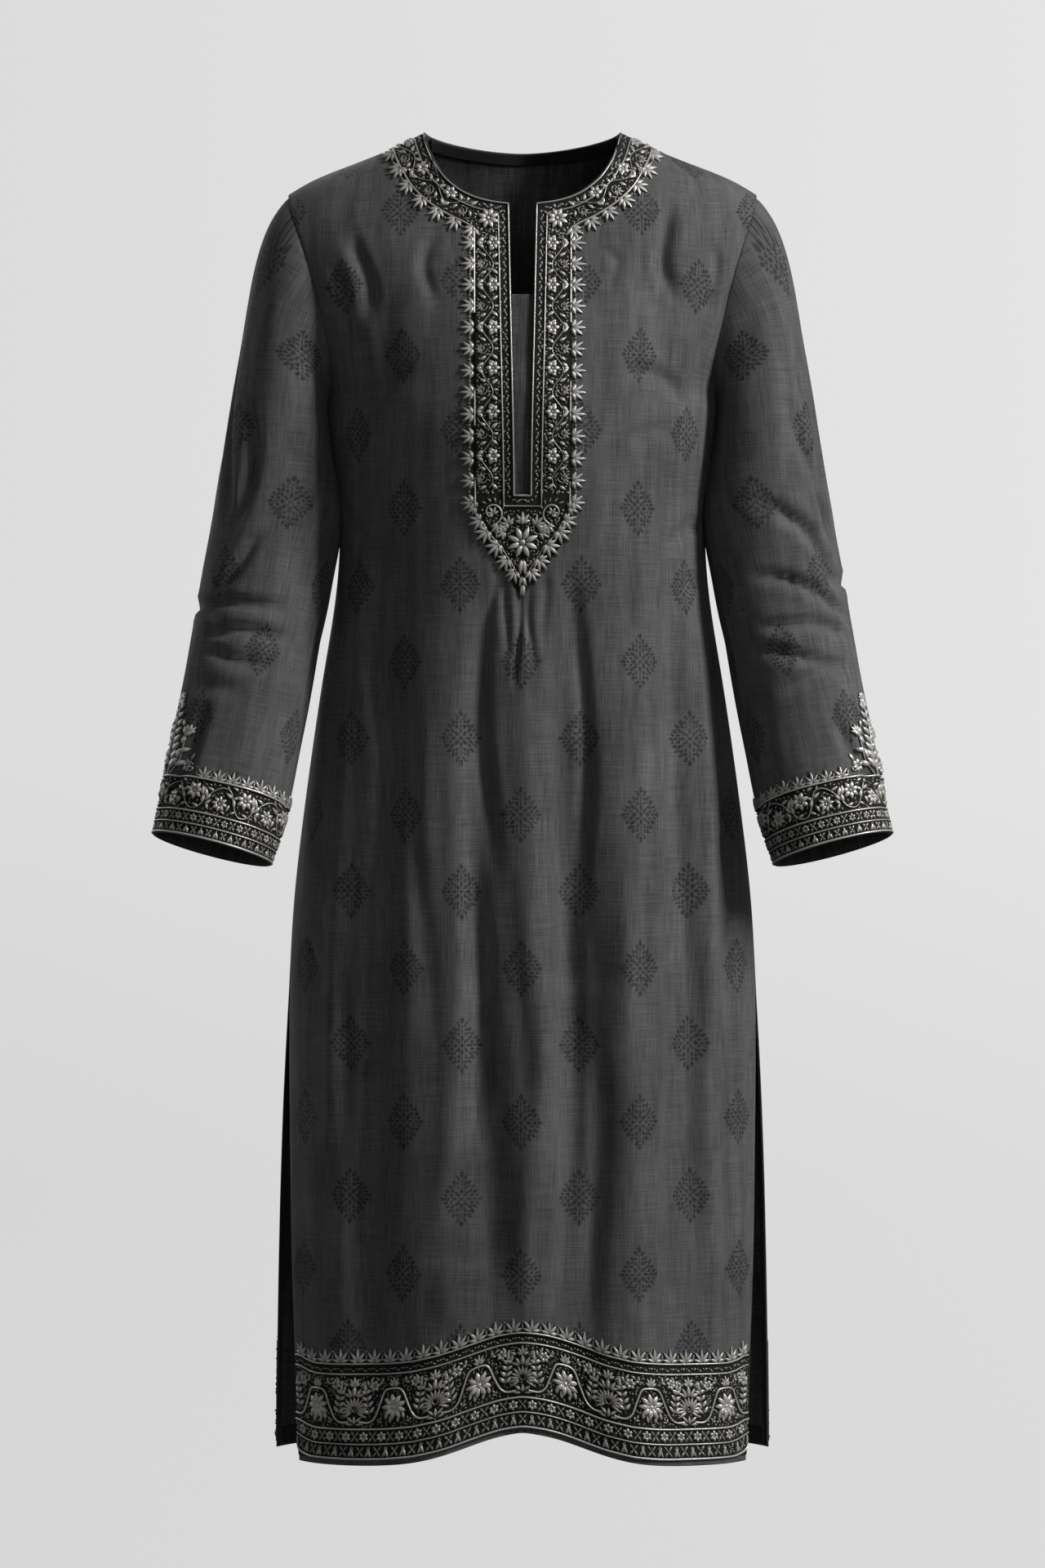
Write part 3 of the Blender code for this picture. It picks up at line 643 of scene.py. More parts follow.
def surface_of(name):
    """A search tree of a finished sheet, for laying things on it."""
    copy = bmesh.new()
    copy.from_mesh(sheets[name].data)
    copy.normal_update()
    return BVHTree.FromBMesh(copy)


def lay(mesh, surface, lift):
    for vertex in mesh.vertices:
        place, normal, _, _ = surface.find_nearest(vertex.co)
        vertex.co = place + normal * lift
    mesh.update()


def strip(name, toward, under, levels, lift, finish, slot):
    skin = outer_skin(name, toward)
    write_flat_map(skin, flat_rules[under], None if "panel" in under else SLEEVE_ROUND)
    mesh = smooth_mesh(skin, name + "_cloth", levels)
    if lift:
        lay(mesh, surfaces[under], lift)
    piece = cloth_piece(name + "_cloth", mesh, name, finish, slot, GROUND_THICKNESS)
    piece.modifiers["thickness"].offset = 1 if lift > 0 else -1
    return piece


surfaces = {name: surface_of(name) for name in sheets}
STITCHED_GROUND = (LAY_GAP, ground, "embroidery")
UNDERLAY = (0, wrong_side, "linen")
INSIDE = (-1.3 * MM, binding, "dark_cloth")
strips = {}
for name, toward, under, levels, kind in (
    ("neck_border", (0, -1, 0), "front_panel", 2, STITCHED_GROUND),
    ("hem_border_front", (0, -1, 0), "front_panel", 3, STITCHED_GROUND),
    ("hem_border_back", (0, 1, 0), "back_panel", 3, STITCHED_GROUND),
    ("cuff_border_left", (1, 0, 0), "sleeve_left", 3, STITCHED_GROUND),
    ("cuff_border_right", (-1, 0, 0), "sleeve_right", 3, STITCHED_GROUND),
    ("placket_underlay", (0, -1, 0), "front_panel", 2, UNDERLAY),
    ("back_neck_binding", (0, 1, 0), "back_panel", 3, INSIDE),
    ("back_hem_turnup", (0, 1, 0), "back_panel", 3, INSIDE),
    ("slit_facing_left", (1, 1, 0), "back_panel", 3, INSIDE),
    ("slit_facing_right", (-1, 1, 0), "back_panel", 3, INSIDE),
):
    strips[name] = strip(name, toward, under, levels, *kind)

# %% [markdown]
# ## Stitches in the flat
# Raised embroidery is built from a handful of stitches: a padded satin leaf, a knot, and a couched cord.
# Each is modelled once. A border is then drawn flat, in millimetres, by stamping copies side by side,
# and the whole drawing is laid on the cloth afterwards, point by point. That keeps every motif upright
# on its own band however the cloth bends.

# %% One of each stitch
def leaf_stitch(across, along):
    """A pointed leaf one unit long and wide, raised on both sides of a sunk middle vein."""
    shape = bmesh.new()
    bmesh.ops.create_grid(shape, x_segments=along, y_segments=across, size=0.5)
    for vertex in shape.verts:
        place, side = vertex.co.x + 0.5, vertex.co.y * 2
        swell = math.sin(math.pi * place ** 0.8) ** 0.8 if 0 < place < 1 else 0
        rise = (1 - side ** 2) ** 0.5 * (1 - 0.35 * math.exp(-((side / 0.25) ** 2)))
        vertex.co = (place, side / 2 * swell, rise * (0.25 + 0.75 * swell) if abs(side) < 1 else 0)
    bmesh.ops.remove_doubles(shape, verts=shape.verts[:], dist=0.001)
    return mesh_from(shape, "leaf_stitch")


def knot_stitch():
    """A small round knot, one unit across, half sunk in the cloth."""
    shape = bmesh.new()
    bmesh.ops.create_uvsphere(shape, u_segments=8, v_segments=5, radius=0.5)
    bmesh.ops.bisect_plane(
        shape, geom=all_of(shape), plane_co=(0, 0, -0.2), plane_no=(0, 0, -1), clear_outer=True)
    return mesh_from(shape, "knot_stitch")


STITCHES = {"leaf": leaf_stitch(4, 6), "small leaf": leaf_stitch(2, 4), "knot": knot_stitch()}
print("faces a stitch:", {name: len(mesh.polygons) for name, mesh in STITCHES.items()})

# %% A flat drawing of stitches
def reach_from(x, y, turn, reach):
    """The point some way off in a direction, given in degrees."""
    angle = math.radians(turn)
    return x + reach * math.cos(angle), y + reach * math.sin(angle)


class Drawing:
    """A flat embroidery in millimetres: x and y on the cloth, and height off it."""

    MOST_OPEN = 2500
    CLEARANCE = 1.25
    KNOT_SHARE = 0.25

    def __init__(self):
        self.shape = bmesh.new()
        self.done = []

    def put_by(self):
        """Sets the open part of the drawing aside, because adding to a large mesh is slow."""
        self.done.append(mesh_from(self.shape, "part"))
        self.shape = bmesh.new()

    def gather(self):
        """Brings all the parts together again."""
        for part in self.done:
            self.shape.from_mesh(part)
            bpy.data.meshes.remove(part)
        self.done = []

    def stamp(self, stitch, x, y, turn, size):
        if len(self.shape.verts) > self.MOST_OPEN:
            self.put_by()
        mesh = STITCHES[stitch]
        move = Matrix.LocRotScale(Vector((x, y, 0)), Euler((0, 0, math.radians(turn))), Vector(size))
        mesh.transform(move)
        self.shape.from_mesh(mesh)
        mesh.transform(move.inverted())

    def leaf(self, x, y, turn, length, width, small=False):
        self.stamp("small leaf" if small else "leaf", x, y, turn, (length, width, 0.5 * width + 0.3))

    def knot(self, x, y, across):
        self.stamp("knot", x, y, 0, (across, across, across * 0.9))

    def cord(self, points, radius=0.55, closed=False):
        """A couched cord along a smooth line through the points."""
        line = bpy.data.curves.new("cord", "CURVE")
        line.dimensions = "3D"
        line.bevel_depth = radius
        line.bevel_resolution = 1
        line.use_fill_caps = True
        run = line.splines.new("POLY")
        run.points.add(len(points) - 1)
        for point, (x, y) in zip(run.points, points):
            point.co = (x, y, radius * 0.7, 1)
        run.use_cyclic_u = closed
        holder = bpy.data.objects.new("cord", line)
        mesh = bpy.data.meshes.new_from_object(holder)
        self.shape.from_mesh(mesh)
        bpy.data.objects.remove(holder)
        bpy.data.meshes.remove(mesh)
        bpy.data.curves.remove(line)

    def flower(self, x, y, radius, petals, turn=0.0, wide=0.62):
        start = radius * 0.16
        width = 2 * math.pi * radius / petals * wide
        for index in range(petals):
            way = turn + 360 * index / petals
            self.leaf(*reach_from(x, y, way, start), way, radius - start, width)
        self.knot(x, y, radius * 0.42)

    def fan(self, x, y, turn, size, leaves=5, spread=130, wide=0.3):
        """A sprig: leaves fanned about its direction, the middle one longest."""
        for index in range(leaves):
            share = index / (leaves - 1) - 0.5
            length = size * (1 - 0.9 * share * share * 1.3)
            self.leaf(x, y, turn + spread * share, length, size * wide, small=size < 7)

    def fill(self, outline, pitch, seed):
        """Small slanted leaves and knots in the free spots inside an outline."""
        self.gather()
        taken = KDTree(len(self.shape.verts))
        for index, vertex in enumerate(self.shape.verts):
            taken.insert((vertex.co.x, vertex.co.y, 0), index)
        taken.balance()
        chance = random.Random(seed)
        xs, ys = [x for x, _ in outline], [y for _, y in outline]
        y = min(ys)
        while y < max(ys):
            x = min(xs)
            while x < max(xs):
                spot = (x + chance.uniform(-0.3, 0.3) * pitch, y + chance.uniform(-0.3, 0.3) * pitch)
                turn = chance.uniform(0, 360)
                if within(spot, outline) and taken.find((*spot, 0))[2] > self.CLEARANCE:
                    if chance.random() < self.KNOT_SHARE:
                        self.knot(*spot, 1.6)
                    else:
                        self.leaf(*reach_from(*spot, turn, -1.6), turn, 3.6, 1.7, small=True)
                x += pitch
            y += pitch * 0.87

    def mirrored(self):
        """Adds the same drawing turned over the line x = 0."""
        self.gather()
        bmesh.ops.mirror(
            self.shape, geom=all_of(self.shape), matrix=Matrix.Identity(4), merge_dist=0, axis="X")


def within(spot, outline):
    """Whether a point is inside a closed outline."""
    x, y = spot
    inside = False
    for (ax, ay), (bx, by) in zip(outline, outline[1:] + outline[:1]):
        if (ay > y) != (by > y) and x < ax + (y - ay) / (by - ay) * (bx - ax):
            inside = not inside
    return inside


def smooth_line(points, pitch):
    """Even points along a smooth curve through the given ones."""
    curve = []
    for index in range(len(points) - 1):
        p0 = Vector(points[max(index - 1, 0)])
        p1, p2 = Vector(points[index]), Vector(points[index + 1])
        p3 = Vector(points[min(index + 2, len(points) - 1)])
        for step in range(12):
            t = step / 12
            curve.append(0.5 * (2 * p1 + (p2 - p0) * t + (2 * p0 - 5 * p1 + 4 * p2 - p3) * t * t
                                + (3 * p1 - p0 - 3 * p2 + p3) * t ** 3))
    curve.append(Vector(points[-1]))
    return even(curve, pitch)


def even(curve, pitch):
    lengths = [0.0]
    for a, b in zip(curve, curve[1:]):
        lengths.append(lengths[-1] + (b - a).length)
    count = max(round(lengths[-1] / pitch), 1)
    result, index = [], 0
    for step in range(count + 1):
        goal = lengths[-1] * step / count
        while index < len(curve) - 2 and lengths[index + 1] < goal:
            index += 1
        gap = lengths[index + 1] - lengths[index]
        result.append(curve[index].lerp(curve[index + 1], (goal - lengths[index]) / gap if gap else 0))
    return result


def direction(line, index, reach=1):
    """Which way a line runs at one of its points."""
    return (line[min(index + reach, len(line) - 1)] - line[max(index - reach, 0)]).normalized()


def left_of(way):
    return Vector((-way.y, way.x))


def heading(way):
    return math.degrees(math.atan2(way.y, way.x))


def through(*points):
    return [Vector(point) for point in points]


def beside(line, distance):
    """The line moved sideways, to the left of its direction."""
    return [point + left_of(direction(line, index)) * distance for index, point in enumerate(line)]


def curl(x, y, radius, start, turns, way=1):
    """Points of a spiral that opens from its eye."""
    count = int(14 * turns)
    result = []
    for index in range(count + 1):
        share = index / count
        angle = math.radians(start) + way * 2 * math.pi * turns * (1 - share)
        reach = radius * (0.25 + 0.75 * share)
        result.append(Vector((x + reach * math.cos(angle), y + reach * math.sin(angle))))
    return result

# %% [markdown]
# ## Silver thread
# The thread is a cotton core wrapped in flat metal. Its colour is painted by height: a painted highlight,
# pale and bright, on the tops of the stitches, and painted shade, nearly black, in the hollows between them,
# with a little random unevenness of tone. Every stitch keeps its height off the cloth as an attribute, which
# sets how much painted shade or painted highlight each spot gets.

# %% Silver thread finish, with painted shade and highlight
silver, tree, shader = new_finish("antique silver thread, wrapped and couched", Metallic=0.4, Roughness=0.36)
lift = node(tree, "Attribute", out="Fac", attribute_name="lift")
spot = node(tree, "TexCoord", out="Object")
strands, patches = (
    node(tree, "TexNoise", {"Vector": spot, "Scale": scale, "Detail": 2.0}) for scale in (900.0, 60.0))
# Height gives painted shade low on each stitch and a painted highlight on its top, and the noise adds random
# tone.
height_shade_and_tone = weighted_sum(tree, (lift, 0.62), (strands, 0.35), (patches, 0.25))
# The near-black tone is painted shade in the hollows and the pale tone a painted highlight. The middle tone
# is the thread's own grey.
tone = three_tones(tree, height_shade_and_tone, (0.28, 0.62, 1.15), "#24221f", "#a6a39d", "#f0eeea")
colour_and_relief(tree, shader, tone, strands, 0.5, 0.4 * MM)

# %% Lay a drawing on the cloth
# Height in mm at which a stitch gets the full painted highlight.
FULL_LIFT = 1.6


def embroider(name, drawing, place, base):
    """Turns a flat drawing to a piece: `place` gives the point and normal of the cloth under x and y."""
    drawing.gather()
    shape = drawing.shape
    lifts = shape.verts.layers.float.new("lift")
    for vertex in shape.verts:
        # The kept height sets the silver's painted shade low down and its painted highlight on top.
        vertex[lifts] = min(max(vertex.co.z, 0), FULL_LIFT) / FULL_LIFT
        point, normal = place(vertex.co.x, vertex.co.y)
        vertex.co = point + normal * (vertex.co.z * MM + base)
    bmesh.ops.recalc_face_normals(shape, faces=shape.faces[:])
    mesh = mesh_from(shape, name)
    mesh.materials.append(silver)
    mesh.shade_smooth()
    piece = add_object(name, mesh)
    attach(piece, "root")
    mesh.calc_loop_triangles()
    print(name, "triangles:", len(mesh.loop_triangles))


ON_GROUND = GROUND_THICKNESS + LAY_GAP


def on_panel(surface, facing):
    """Lays x, z of a front or back view on a panel."""
    away = Vector((0, facing, 0))

    def place(x, z):
        start = Vector((x, 0, z)) * MM
        point, normal, _, _ = surface.ray_cast(start + away, -away, 1.0)
        if point is None:
            point, normal, _, _ = surface.find_nearest(start + away * 0.1)
        return point, normal

    return place

# %% [markdown]
# ## Neck border
# Two cords with a row of small slanted stitches between them run round the neck and down both edges of
# the slit. Outside them a vine with curls, leaves and flowers fills a band to an outer cord, and a fringe
# of sprigs stands beyond it on the linen. Below the slit the band closes in a pointed medallion.
# Half of it is drawn and the other half mirrored.

# %% Draw the neck border
NECK_LINE = (
    (82, 1), (80.8, -8), (78.6, -17), (75.4, -27), (71, -36), (65, -45), (58, -52), (50, -58), (41, -62.5),
    (33, -65.2), (25, -67), (17, -68.2), (10.8, -68.8),
)
SLIT_LINE = ((10.8, -68.8), (9.9, -110), (8.6, -170), (7.2, -230), (6.2, -280), (5.8, -313))
OUTER_LINE = (
    (110, -6), (108.6, -14), (106, -26), (100, -39.5), (91, -55), (77.5, -68.5), (61, -79.5), (50, -85),
    (40.5, -90.5),
)
OUTER_END = -322
VINE_LINE = ((101, -4), (97.5, -18), (91.5, -33), (82, -47.5), (69, -59.5), (53, -69.5), (41, -75.5))
SLIT_FOOT = -313
STITCH_SLANT = 24


def vine(drawing, path, wave, length, reach):
    """A winding cord along a path, with a flower in each bend and leaves on its outer side."""
    line = even(path, 2.0)
    count = max(round(len(line) * 2.0 / length), 1)
    step = len(line) / count
    drawing.cord([point + left_of(direction(line, index)) * (wave * math.sin(math.pi * index / step))
                  for index, point in enumerate(line)], 0.5)
    for index in range(count):
        bend = int((index + 0.5) * step)
        middle, way = line[min(bend, len(line) - 1)], direction(line, bend, 2)
        out = left_of(way) * (1 if index % 2 == 0 else -1)
        turn = heading(out)
        heart = middle - out * reach * 0.42
        if index % 2 == 0:
            drawing.flower(heart.x, heart.y, reach * 0.58, 6, turn)
        else:
            drawing.cord(curl(heart.x, heart.y, reach * 0.42, turn, 1.2), 0.45)
            drawing.fan(heart.x, heart.y, turn + 180, reach * 0.62, 5, 150, 0.34)
        for side in (-1, 1):
            foot = middle + way * side * length * 0.26 + out * wave * 0.7
            drawing.leaf(foot.x, foot.y, turn + side * 38, reach * 0.66, reach * 0.3)
            foot = middle + way * side * length * 0.36 - out * reach * 0.1
            drawing.leaf(foot.x, foot.y, turn + 180 - side * 30, reach * 0.62, reach * 0.27)
            drawing.knot(*(middle + way * side * length * 0.44 + out * reach * 0.62), 1.7)
        foot = middle + out * wave
        drawing.leaf(foot.x, foot.y, turn, reach * 0.46, reach * 0.26)


def sprig_row(drawing, path, pitch, size):
    """Sprigs that stand off a path, with a knot between each two."""
    line = even(path, pitch)
    for index, point in enumerate(line):
        out = left_of(direction(line, index))
        foot = point + out * 1.2
        drawing.fan(foot.x, foot.y, heading(out), size, 5, 140, 0.28)
        for turn in (-84, 84):
            drawing.leaf(foot.x, foot.y, heading(out) + turn, size * 0.55, size * 0.24)
        if index:
            middle = (point + line[index - 1]) / 2 + out * size * 0.34
            drawing.knot(middle.x, middle.y, 1.9)


def slanted_row(drawing, path, pitch, length, width):
    line = even(path, pitch)
    for index, point in enumerate(line[:-1]):
        turn = heading(line[index + 1] - point) + (STITCH_SLANT if index % 2 else -STITCH_SLANT)
        drawing.leaf(point.x, point.y, turn, length, width, small=True)
        if index % 3 == 2:
            drawing.knot(point.x, point.y, width)


neck = Drawing()
neck_line = smooth_line(NECK_LINE, 3.0)
slit_line = smooth_line(SLIT_LINE, 6.0)
for distance, radius in ((-1.1, 0.75), (-9.6, 0.7)):
    round_neck = beside(neck_line, -distance)
    down = beside(slit_line, -distance)
    corner = Vector((down[0].x, round_neck[-1].y))
    foot = Vector((down[-1].x, SLIT_FOOT + distance))
    run = [p for p in round_neck if p.x > corner.x + 1] + [corner] + [p for p in down if p.y < corner.y - 1]
    neck.cord([*run, foot, Vector((0, foot.y))], radius)
neck.cord(through((5.2, SLIT_FOOT - 0.5), (0, SLIT_FOOT - 0.5)), 0.6)
slanted_row(neck, [p for p in beside(neck_line, 5.4) if p.x > 16], 3.4, 3.6, 1.9)
slanted_row(neck, [p for p in beside(slit_line, 5.4) if p.y < -74] + through((11.2, -317)), 3.4, 3.6, 1.9)
slanted_row(neck, through((9, -318.5), (0, -318.5)), 3.2, 3.4, 1.8)
outer = smooth_line(OUTER_LINE, 3.0)
neck.cord(outer, 0.85)
neck.cord(through((40, -91), (39.6, -150), (39, -240), (38.6, OUTER_END)), 0.85)
vine(neck, smooth_line(VINE_LINE, 2.0), 4.2, 15.5, 10.5)
vine(neck, [Vector((28.8, y)) for y in range(-96, -310, -4)], 4.6, 17.5, 10.8)
neck.flower(28.5, -82.5, 9.6, 8, 22)
for turn in (20, 100, 150, 200, 250, 300):
    ease = math.radians(turn)
    neck.leaf(28.5 + 9.4 * math.cos(ease), -82.5 + 9.0 * math.sin(ease), turn, 4.6, 2.3, small=True)
sprig_row(neck, outer, 15.5, 11.5)
sprig_row(neck, [Vector((39.6, y)) for y in range(-104, -324, -4)], 17.8, 11.5)

# %% The medallion under the slit
neck.flower(0, -352, 13.5, 8, 22.5, 0.5)
neck.fan(0, -336, 90, 9.5, 5, 150, 0.36)
neck.leaf(0, -338, 90, 9, 4.4)
neck.cord(curl(25, -328, 9.5, 250, 1.0, -1), 0.8)
neck.fan(24, -329, 60, 7.2, 5, 190, 0.36)
for turn in range(60, 294, 26):
    neck.leaf(*reach_from(25, -328, turn, 8.5), turn - 40, 5.2, 2.1, small=True)
for x, y, turn, size in (
    (11, -338, 50, 10), (14.5, -344, 5, 10), (34, -334, -20, 12), (29, -343, -38, 13), (20, -354, -42, 13),
    (13, -366, -50, 12), (6.5, -376, -60, 11), (20, -338, -80, 10), (38, -324, 8, 10),
):
    neck.fan(x, y, turn, size, 5, 140, 0.28)
    for lean in (96, -96):
        neck.leaf(x, y, turn + lean, size * 0.5, size * 0.22)
neck.cord(smooth_line(((38.6, -322), (36, -334), (27, -345), (17, -357), (8, -371), (0.6, -384)), 3.0), 0.5)
for x, y in (
    (8, -334), (17, -333), (24, -340), (16, -349), (21, -347), (9, -366), (4, -371), (31, -338), (33, -326),
):
    neck.knot(x, y, 2.1)
for row in ((0.8, -366, -84, 13, 4.2), (0, -380, -72, 9, 3.4), (0.4, -386, -88, 11, 3.6)):
    neck.leaf(*row)
band = [tuple(p) for p in beside(neck_line, 11) if p.x > 18]
band += [(17, -79), (16.8, -110), (14.6, -200), (13, -312), (37.6, -312), (38.4, -150), (39, -92)]
band += [tuple(p) for p in reversed(beside(outer, -1.4))]
neck.fill(band, 2.9, 3)
neck.fill([(0.6, -325), (35, -325), (33, -334), (25, -346), (15, -358), (7, -370), (0.6, -380)], 2.9, 4)
neck.mirrored()
embroider("neck_embroidery", neck, on_panel(surfaces["front_panel"], -1), ON_GROUND)

# %% [markdown]
# ## Hem borders
# From the hem up: a plain dark edge, two bands of small stitches between cords, a broad band where a
# cord runs in arches over big flowers and dips to upright lotus blooms, a narrow beaded band, and a crest
# of palmettes that stands on the linen. The drawing follows the edge, so it rises with the hem's middle.

# %% Find a flat point on its sheet
ABOVE_HEM = -1.02
HEM_LINE = -1.075
CORNER_REST = 8 * MM


class FlatSheet:
    """Finds the place on a finished sheet of a point of its flat cloth, by its UV map."""

    def __init__(self, name):
        mesh = sheets[name].data
        mesh.calc_loop_triangles()
        layer = mesh.uv_layers["cloth"].data
        loops = [index for triangle in mesh.loop_triangles for index in triangle.loops]
        corners = [mesh.vertices[index] for triangle in mesh.loop_triangles for index in triangle.vertices]
        self.flat = [Vector((*layer[index].uv, 0)) for index in loops]
        self.solid = [corner.co.copy() for corner in corners]
        self.normals = [corner.normal.copy() for corner in corners]
        self.tree = BVHTree.FromPolygons(self.flat, [(i, i + 1, i + 2) for i in range(0, len(loops), 3)])

    def inside(self, u, v):
        return self.tree.find_nearest((u, v, 0))[3] < 0.05 * MM

    def point(self, u, v):
        near, _, index, _ = self.tree.find_nearest((u, v, 0))
        part = slice(3 * index, 3 * index + 3)
        place = barycentric_transform(near, *self.flat[part], *self.solid[part])
        normal = barycentric_transform(near, *self.flat[part], *self.normals[part])
        return place, normal.normalized()

    def limit(self, u, v, step_u, step_v):
        """What share of a step the cloth goes on for, from a point in it."""
        inner, outer = 0.0, 1.0
        for _ in range(16):
            middle = (inner + outer) / 2
            if self.inside(u + step_u * middle, v + step_v * middle):
                inner = middle
            else:
                outer = middle
        return inner


def on_hem(name):
    """Lays a drawing on a panel: x runs round the hem from its middle, and y up from the edge."""
    cloth = FlatSheet(name)
    half = cloth.limit(0, HEM_LINE, 0.3, 0) * 0.3
    grid = [(half - CORNER_REST) * (i / 20 - 1) for i in range(41)]
    edge = [ABOVE_HEM - cloth.limit(u, ABOVE_HEM, 0, -0.12) * 0.12 for u in grid]
    reach = half * 0.994

    def place(x, y):
        u = min(max(x * MM, -reach), reach)
        return cloth.point(u, float(np.interp(u, grid, edge)) + y * MM)

    print(name, "half hem mm:", round(half / MM), "edge:", round(edge[0], 3), round(edge[20], 3))
    return place, half / MM

# %% Draw the hem borders
def leaf_band(drawing, start, end, low, high, pitch, kind):
    """A narrow band of small stitches between two cords."""
    middle, tall = (low + high) / 2, high - low - 2.4
    count = round((end - start) / pitch)
    pitch = (end - start) / count
    for index in range(count):
        x = start + (index + 0.5) * pitch
        if kind == "dashes":
            drawing.leaf(x - 1.7, middle - 0.8, 24 if index % 2 else -24, 3.6, 2.0, small=True)
            drawing.knot(x + pitch / 2, middle, 1.7)
        elif (index + (kind == "flowers")) % 2:
            for turn in (52, 128, -52, -128):
                drawing.leaf(*reach_from(x, middle, turn, 0.5), turn, tall * 0.56, 2.3, small=True)
            drawing.knot(x, middle, 2.0)
        elif kind == "flowers":
            drawing.flower(x, middle, tall * 0.47, 6, 30 * index)
        else:
            for side in (-1, 1):
                drawing.leaf(x + side * pitch * 0.34, middle - tall / 2, 90 + side * 26, tall, 2.7)
            drawing.knot(x, middle + tall * 0.36, 1.9)
            drawing.knot(x, middle - tall * 0.34, 1.5)


def spray(drawing, x, y, turn, length, leaves, size):
    """A stem with leaves in pairs and one at its tip."""
    way = Vector(reach_from(0, 0, turn, 1))
    foot = Vector((x, y))
    drawing.cord([foot, foot + way * length], 0.35)
    for index in range(leaves):
        share = (index + 0.6) / leaves
        point = foot + way * length * share
        for side in (-1, 1):
            drawing.leaf(point.x, point.y, turn + side * 48, size * (1.1 - 0.4 * share), size * 0.44)
    tip = foot + way * length
    drawing.leaf(tip.x, tip.y, turn, size, size * 0.42)


def crest(drawing, start, end, y, pitch, size):
    count = round((end - start) / pitch)
    pitch = (end - start) / count
    for index in range(count + 1):
        x = start + index * pitch
        if index < count:
            drawing.fan(x + pitch / 2, y, 90, size, 5, 150, 0.27)
            for turn in (0, 180):
                drawing.leaf(x + pitch / 2, y, turn, size * 0.4, size * 0.2, small=True)
        drawing.leaf(x, y, 90, size * 0.62, size * 0.22, small=True)
        drawing.knot(x, y + size * 0.74, 1.5)

# %% A lotus, and the arch beside it
def lotus(drawing, x):
    for turn in range(-30, 211, 20):
        drawing.leaf(*reach_from(x, 46, turn, 2.5), turn, 9.5 if 50 < turn < 130 else 11, 2.7)
    ring = [Vector((x + 2.6 * math.cos(a), 49 + 4.4 * math.sin(a))) for a in np.linspace(0, 2 * math.pi, 13)]
    drawing.cord(ring, 0.5)
    drawing.leaf(x, 34, 90, 8, 3)
    for side in (-1, 1):
        for out, y, lean, length, width in (
            (1, 36, 50, 8, 2.8), (1, 34, 80, 9, 2.6), (1.5, 57, 32, 9, 3.2), (2, 57, 66, 9, 3.0),
            (5, 66, 60, 7, 2.6),
        ):
            drawing.leaf(x + side * out, y, 90 - side * lean, length, width)
    drawing.leaf(x, 57, 90, 10, 4)
    drawing.fan(x, 66, 90, 8.4, 5, 130, 0.36)


ARCH_LINE = (
    (5, 36.5), (13, 36.0), (19, 40.5), (23.5, 52), (27.5, 61.5), (32, 63.5), (40, 63.5), (44.5, 60), (49, 49),
    (54, 39.5), (60, 36), (67, 36.5),
)


def arch(drawing, x):
    """The cord's arch to the right of a lotus at x, with a peony under it and sprays round it."""
    drawing.cord(smooth_line([(x + a, b) for a, b in ARCH_LINE], 2.0), 0.95)
    drawing.flower(x + 36, 48.5, 11.5, 9, 20, 0.66)
    drawing.flower(x + 36, 48.5, 6.2, 6, 0, 0.6)
    for a, b, turn, length in (
        (28, 38, 75, 8), (33, 35, 100, 7), (39, 35, 80, 7), (45, 38, 105, 8), (36, 60, 90, 3.2),
    ):
        drawing.leaf(x + a, b, turn, length, length * 0.42)
    for a, b, turn, length, leaves, size in (
        (14, 40, 100, 22, 4, 7.5), (8, 58, 60, 12, 2, 6.5), (57, 41, 82, 21, 4, 7.5),
        (64, 58, 118, 12, 2, 6.5), (30, 66.5, 150, 8, 1, 5.5), (42, 66.5, 30, 8, 1, 5.5),
        (21, 34, 60, 3.5, 1, 4.5), (51, 34, 120, 3.5, 1, 4.5),
    ):
        spray(drawing, x + a, b, turn, length, leaves, size)
    drawing.fan(x + 36, 65.5, 90, 8.5, 5, 120, 0.34)
    drawing.flower(x + 18, 66, 5.2, 6, 10)
    drawing.flower(x + 55, 67.5, 5.0, 6, 40)
    drawing.cord(curl(x + 8, 68, 3.4, 200, 1.1), 0.4)
    drawing.cord(curl(x + 64, 69, 3.2, 340, 1.1, -1), 0.4)
    for a, b in (
        (10, 41), (20, 58), (24, 70), (30, 56), (42, 56), (48, 70), (50, 58), (62, 42), (25, 33.5),
        (47, 33.5),
    ):
        drawing.knot(x + a, b, 1.9)

# %% Stitch both hems
LOTUS_PITCH = 72
HEM_CORDS = ((5.8, 0.95), (18, 0.75), (30.5, 0.9), (76, 0.8), (84.5, 0.85))
HEM_BANDS = ((5.8, 18, 7.6, "leaves"), (18, 30.5, 7.9, "flowers"), (76, 84.5, 5.2, "dashes"))
CREST_FOOT = 86
for name, facing in (("front_panel", -1), ("back_panel", 1)):
    place, half = on_hem(name)
    hem = Drawing()
    for height, radius in HEM_CORDS:
        hem.cord([Vector((x, height)) for x in np.linspace(-half + 0.8, half - 0.8, 100)], radius)
    for band in HEM_BANDS:
        leaf_band(hem, -half + 1, half - 1, *band)
    crest(hem, -half + 2, half - 2, CREST_FOOT, 15, 11.5)
    for index in range(-3, 3):
        if abs(index * LOTUS_PITCH) < half - 12:
            lotus(hem, index * LOTUS_PITCH)
        arch(hem, index * LOTUS_PITCH)
    lotus(hem, 0 if half < 3 * LOTUS_PITCH else 3 * LOTUS_PITCH - 6)
    hem.fill([(-half + 1, 32), (half - 1, 32), (half - 1, 74.6), (-half + 1, 74.6)], 3.0, 5)
    hem.gather()
    cut = [vertex for vertex in hem.shape.verts if abs(vertex.co.x) > half - 0.5]
    bmesh.ops.delete(hem.shape, geom=cut, context="VERTS")
    embroider("hem_embroidery_" + name[:-6], hem, place, ON_GROUND)

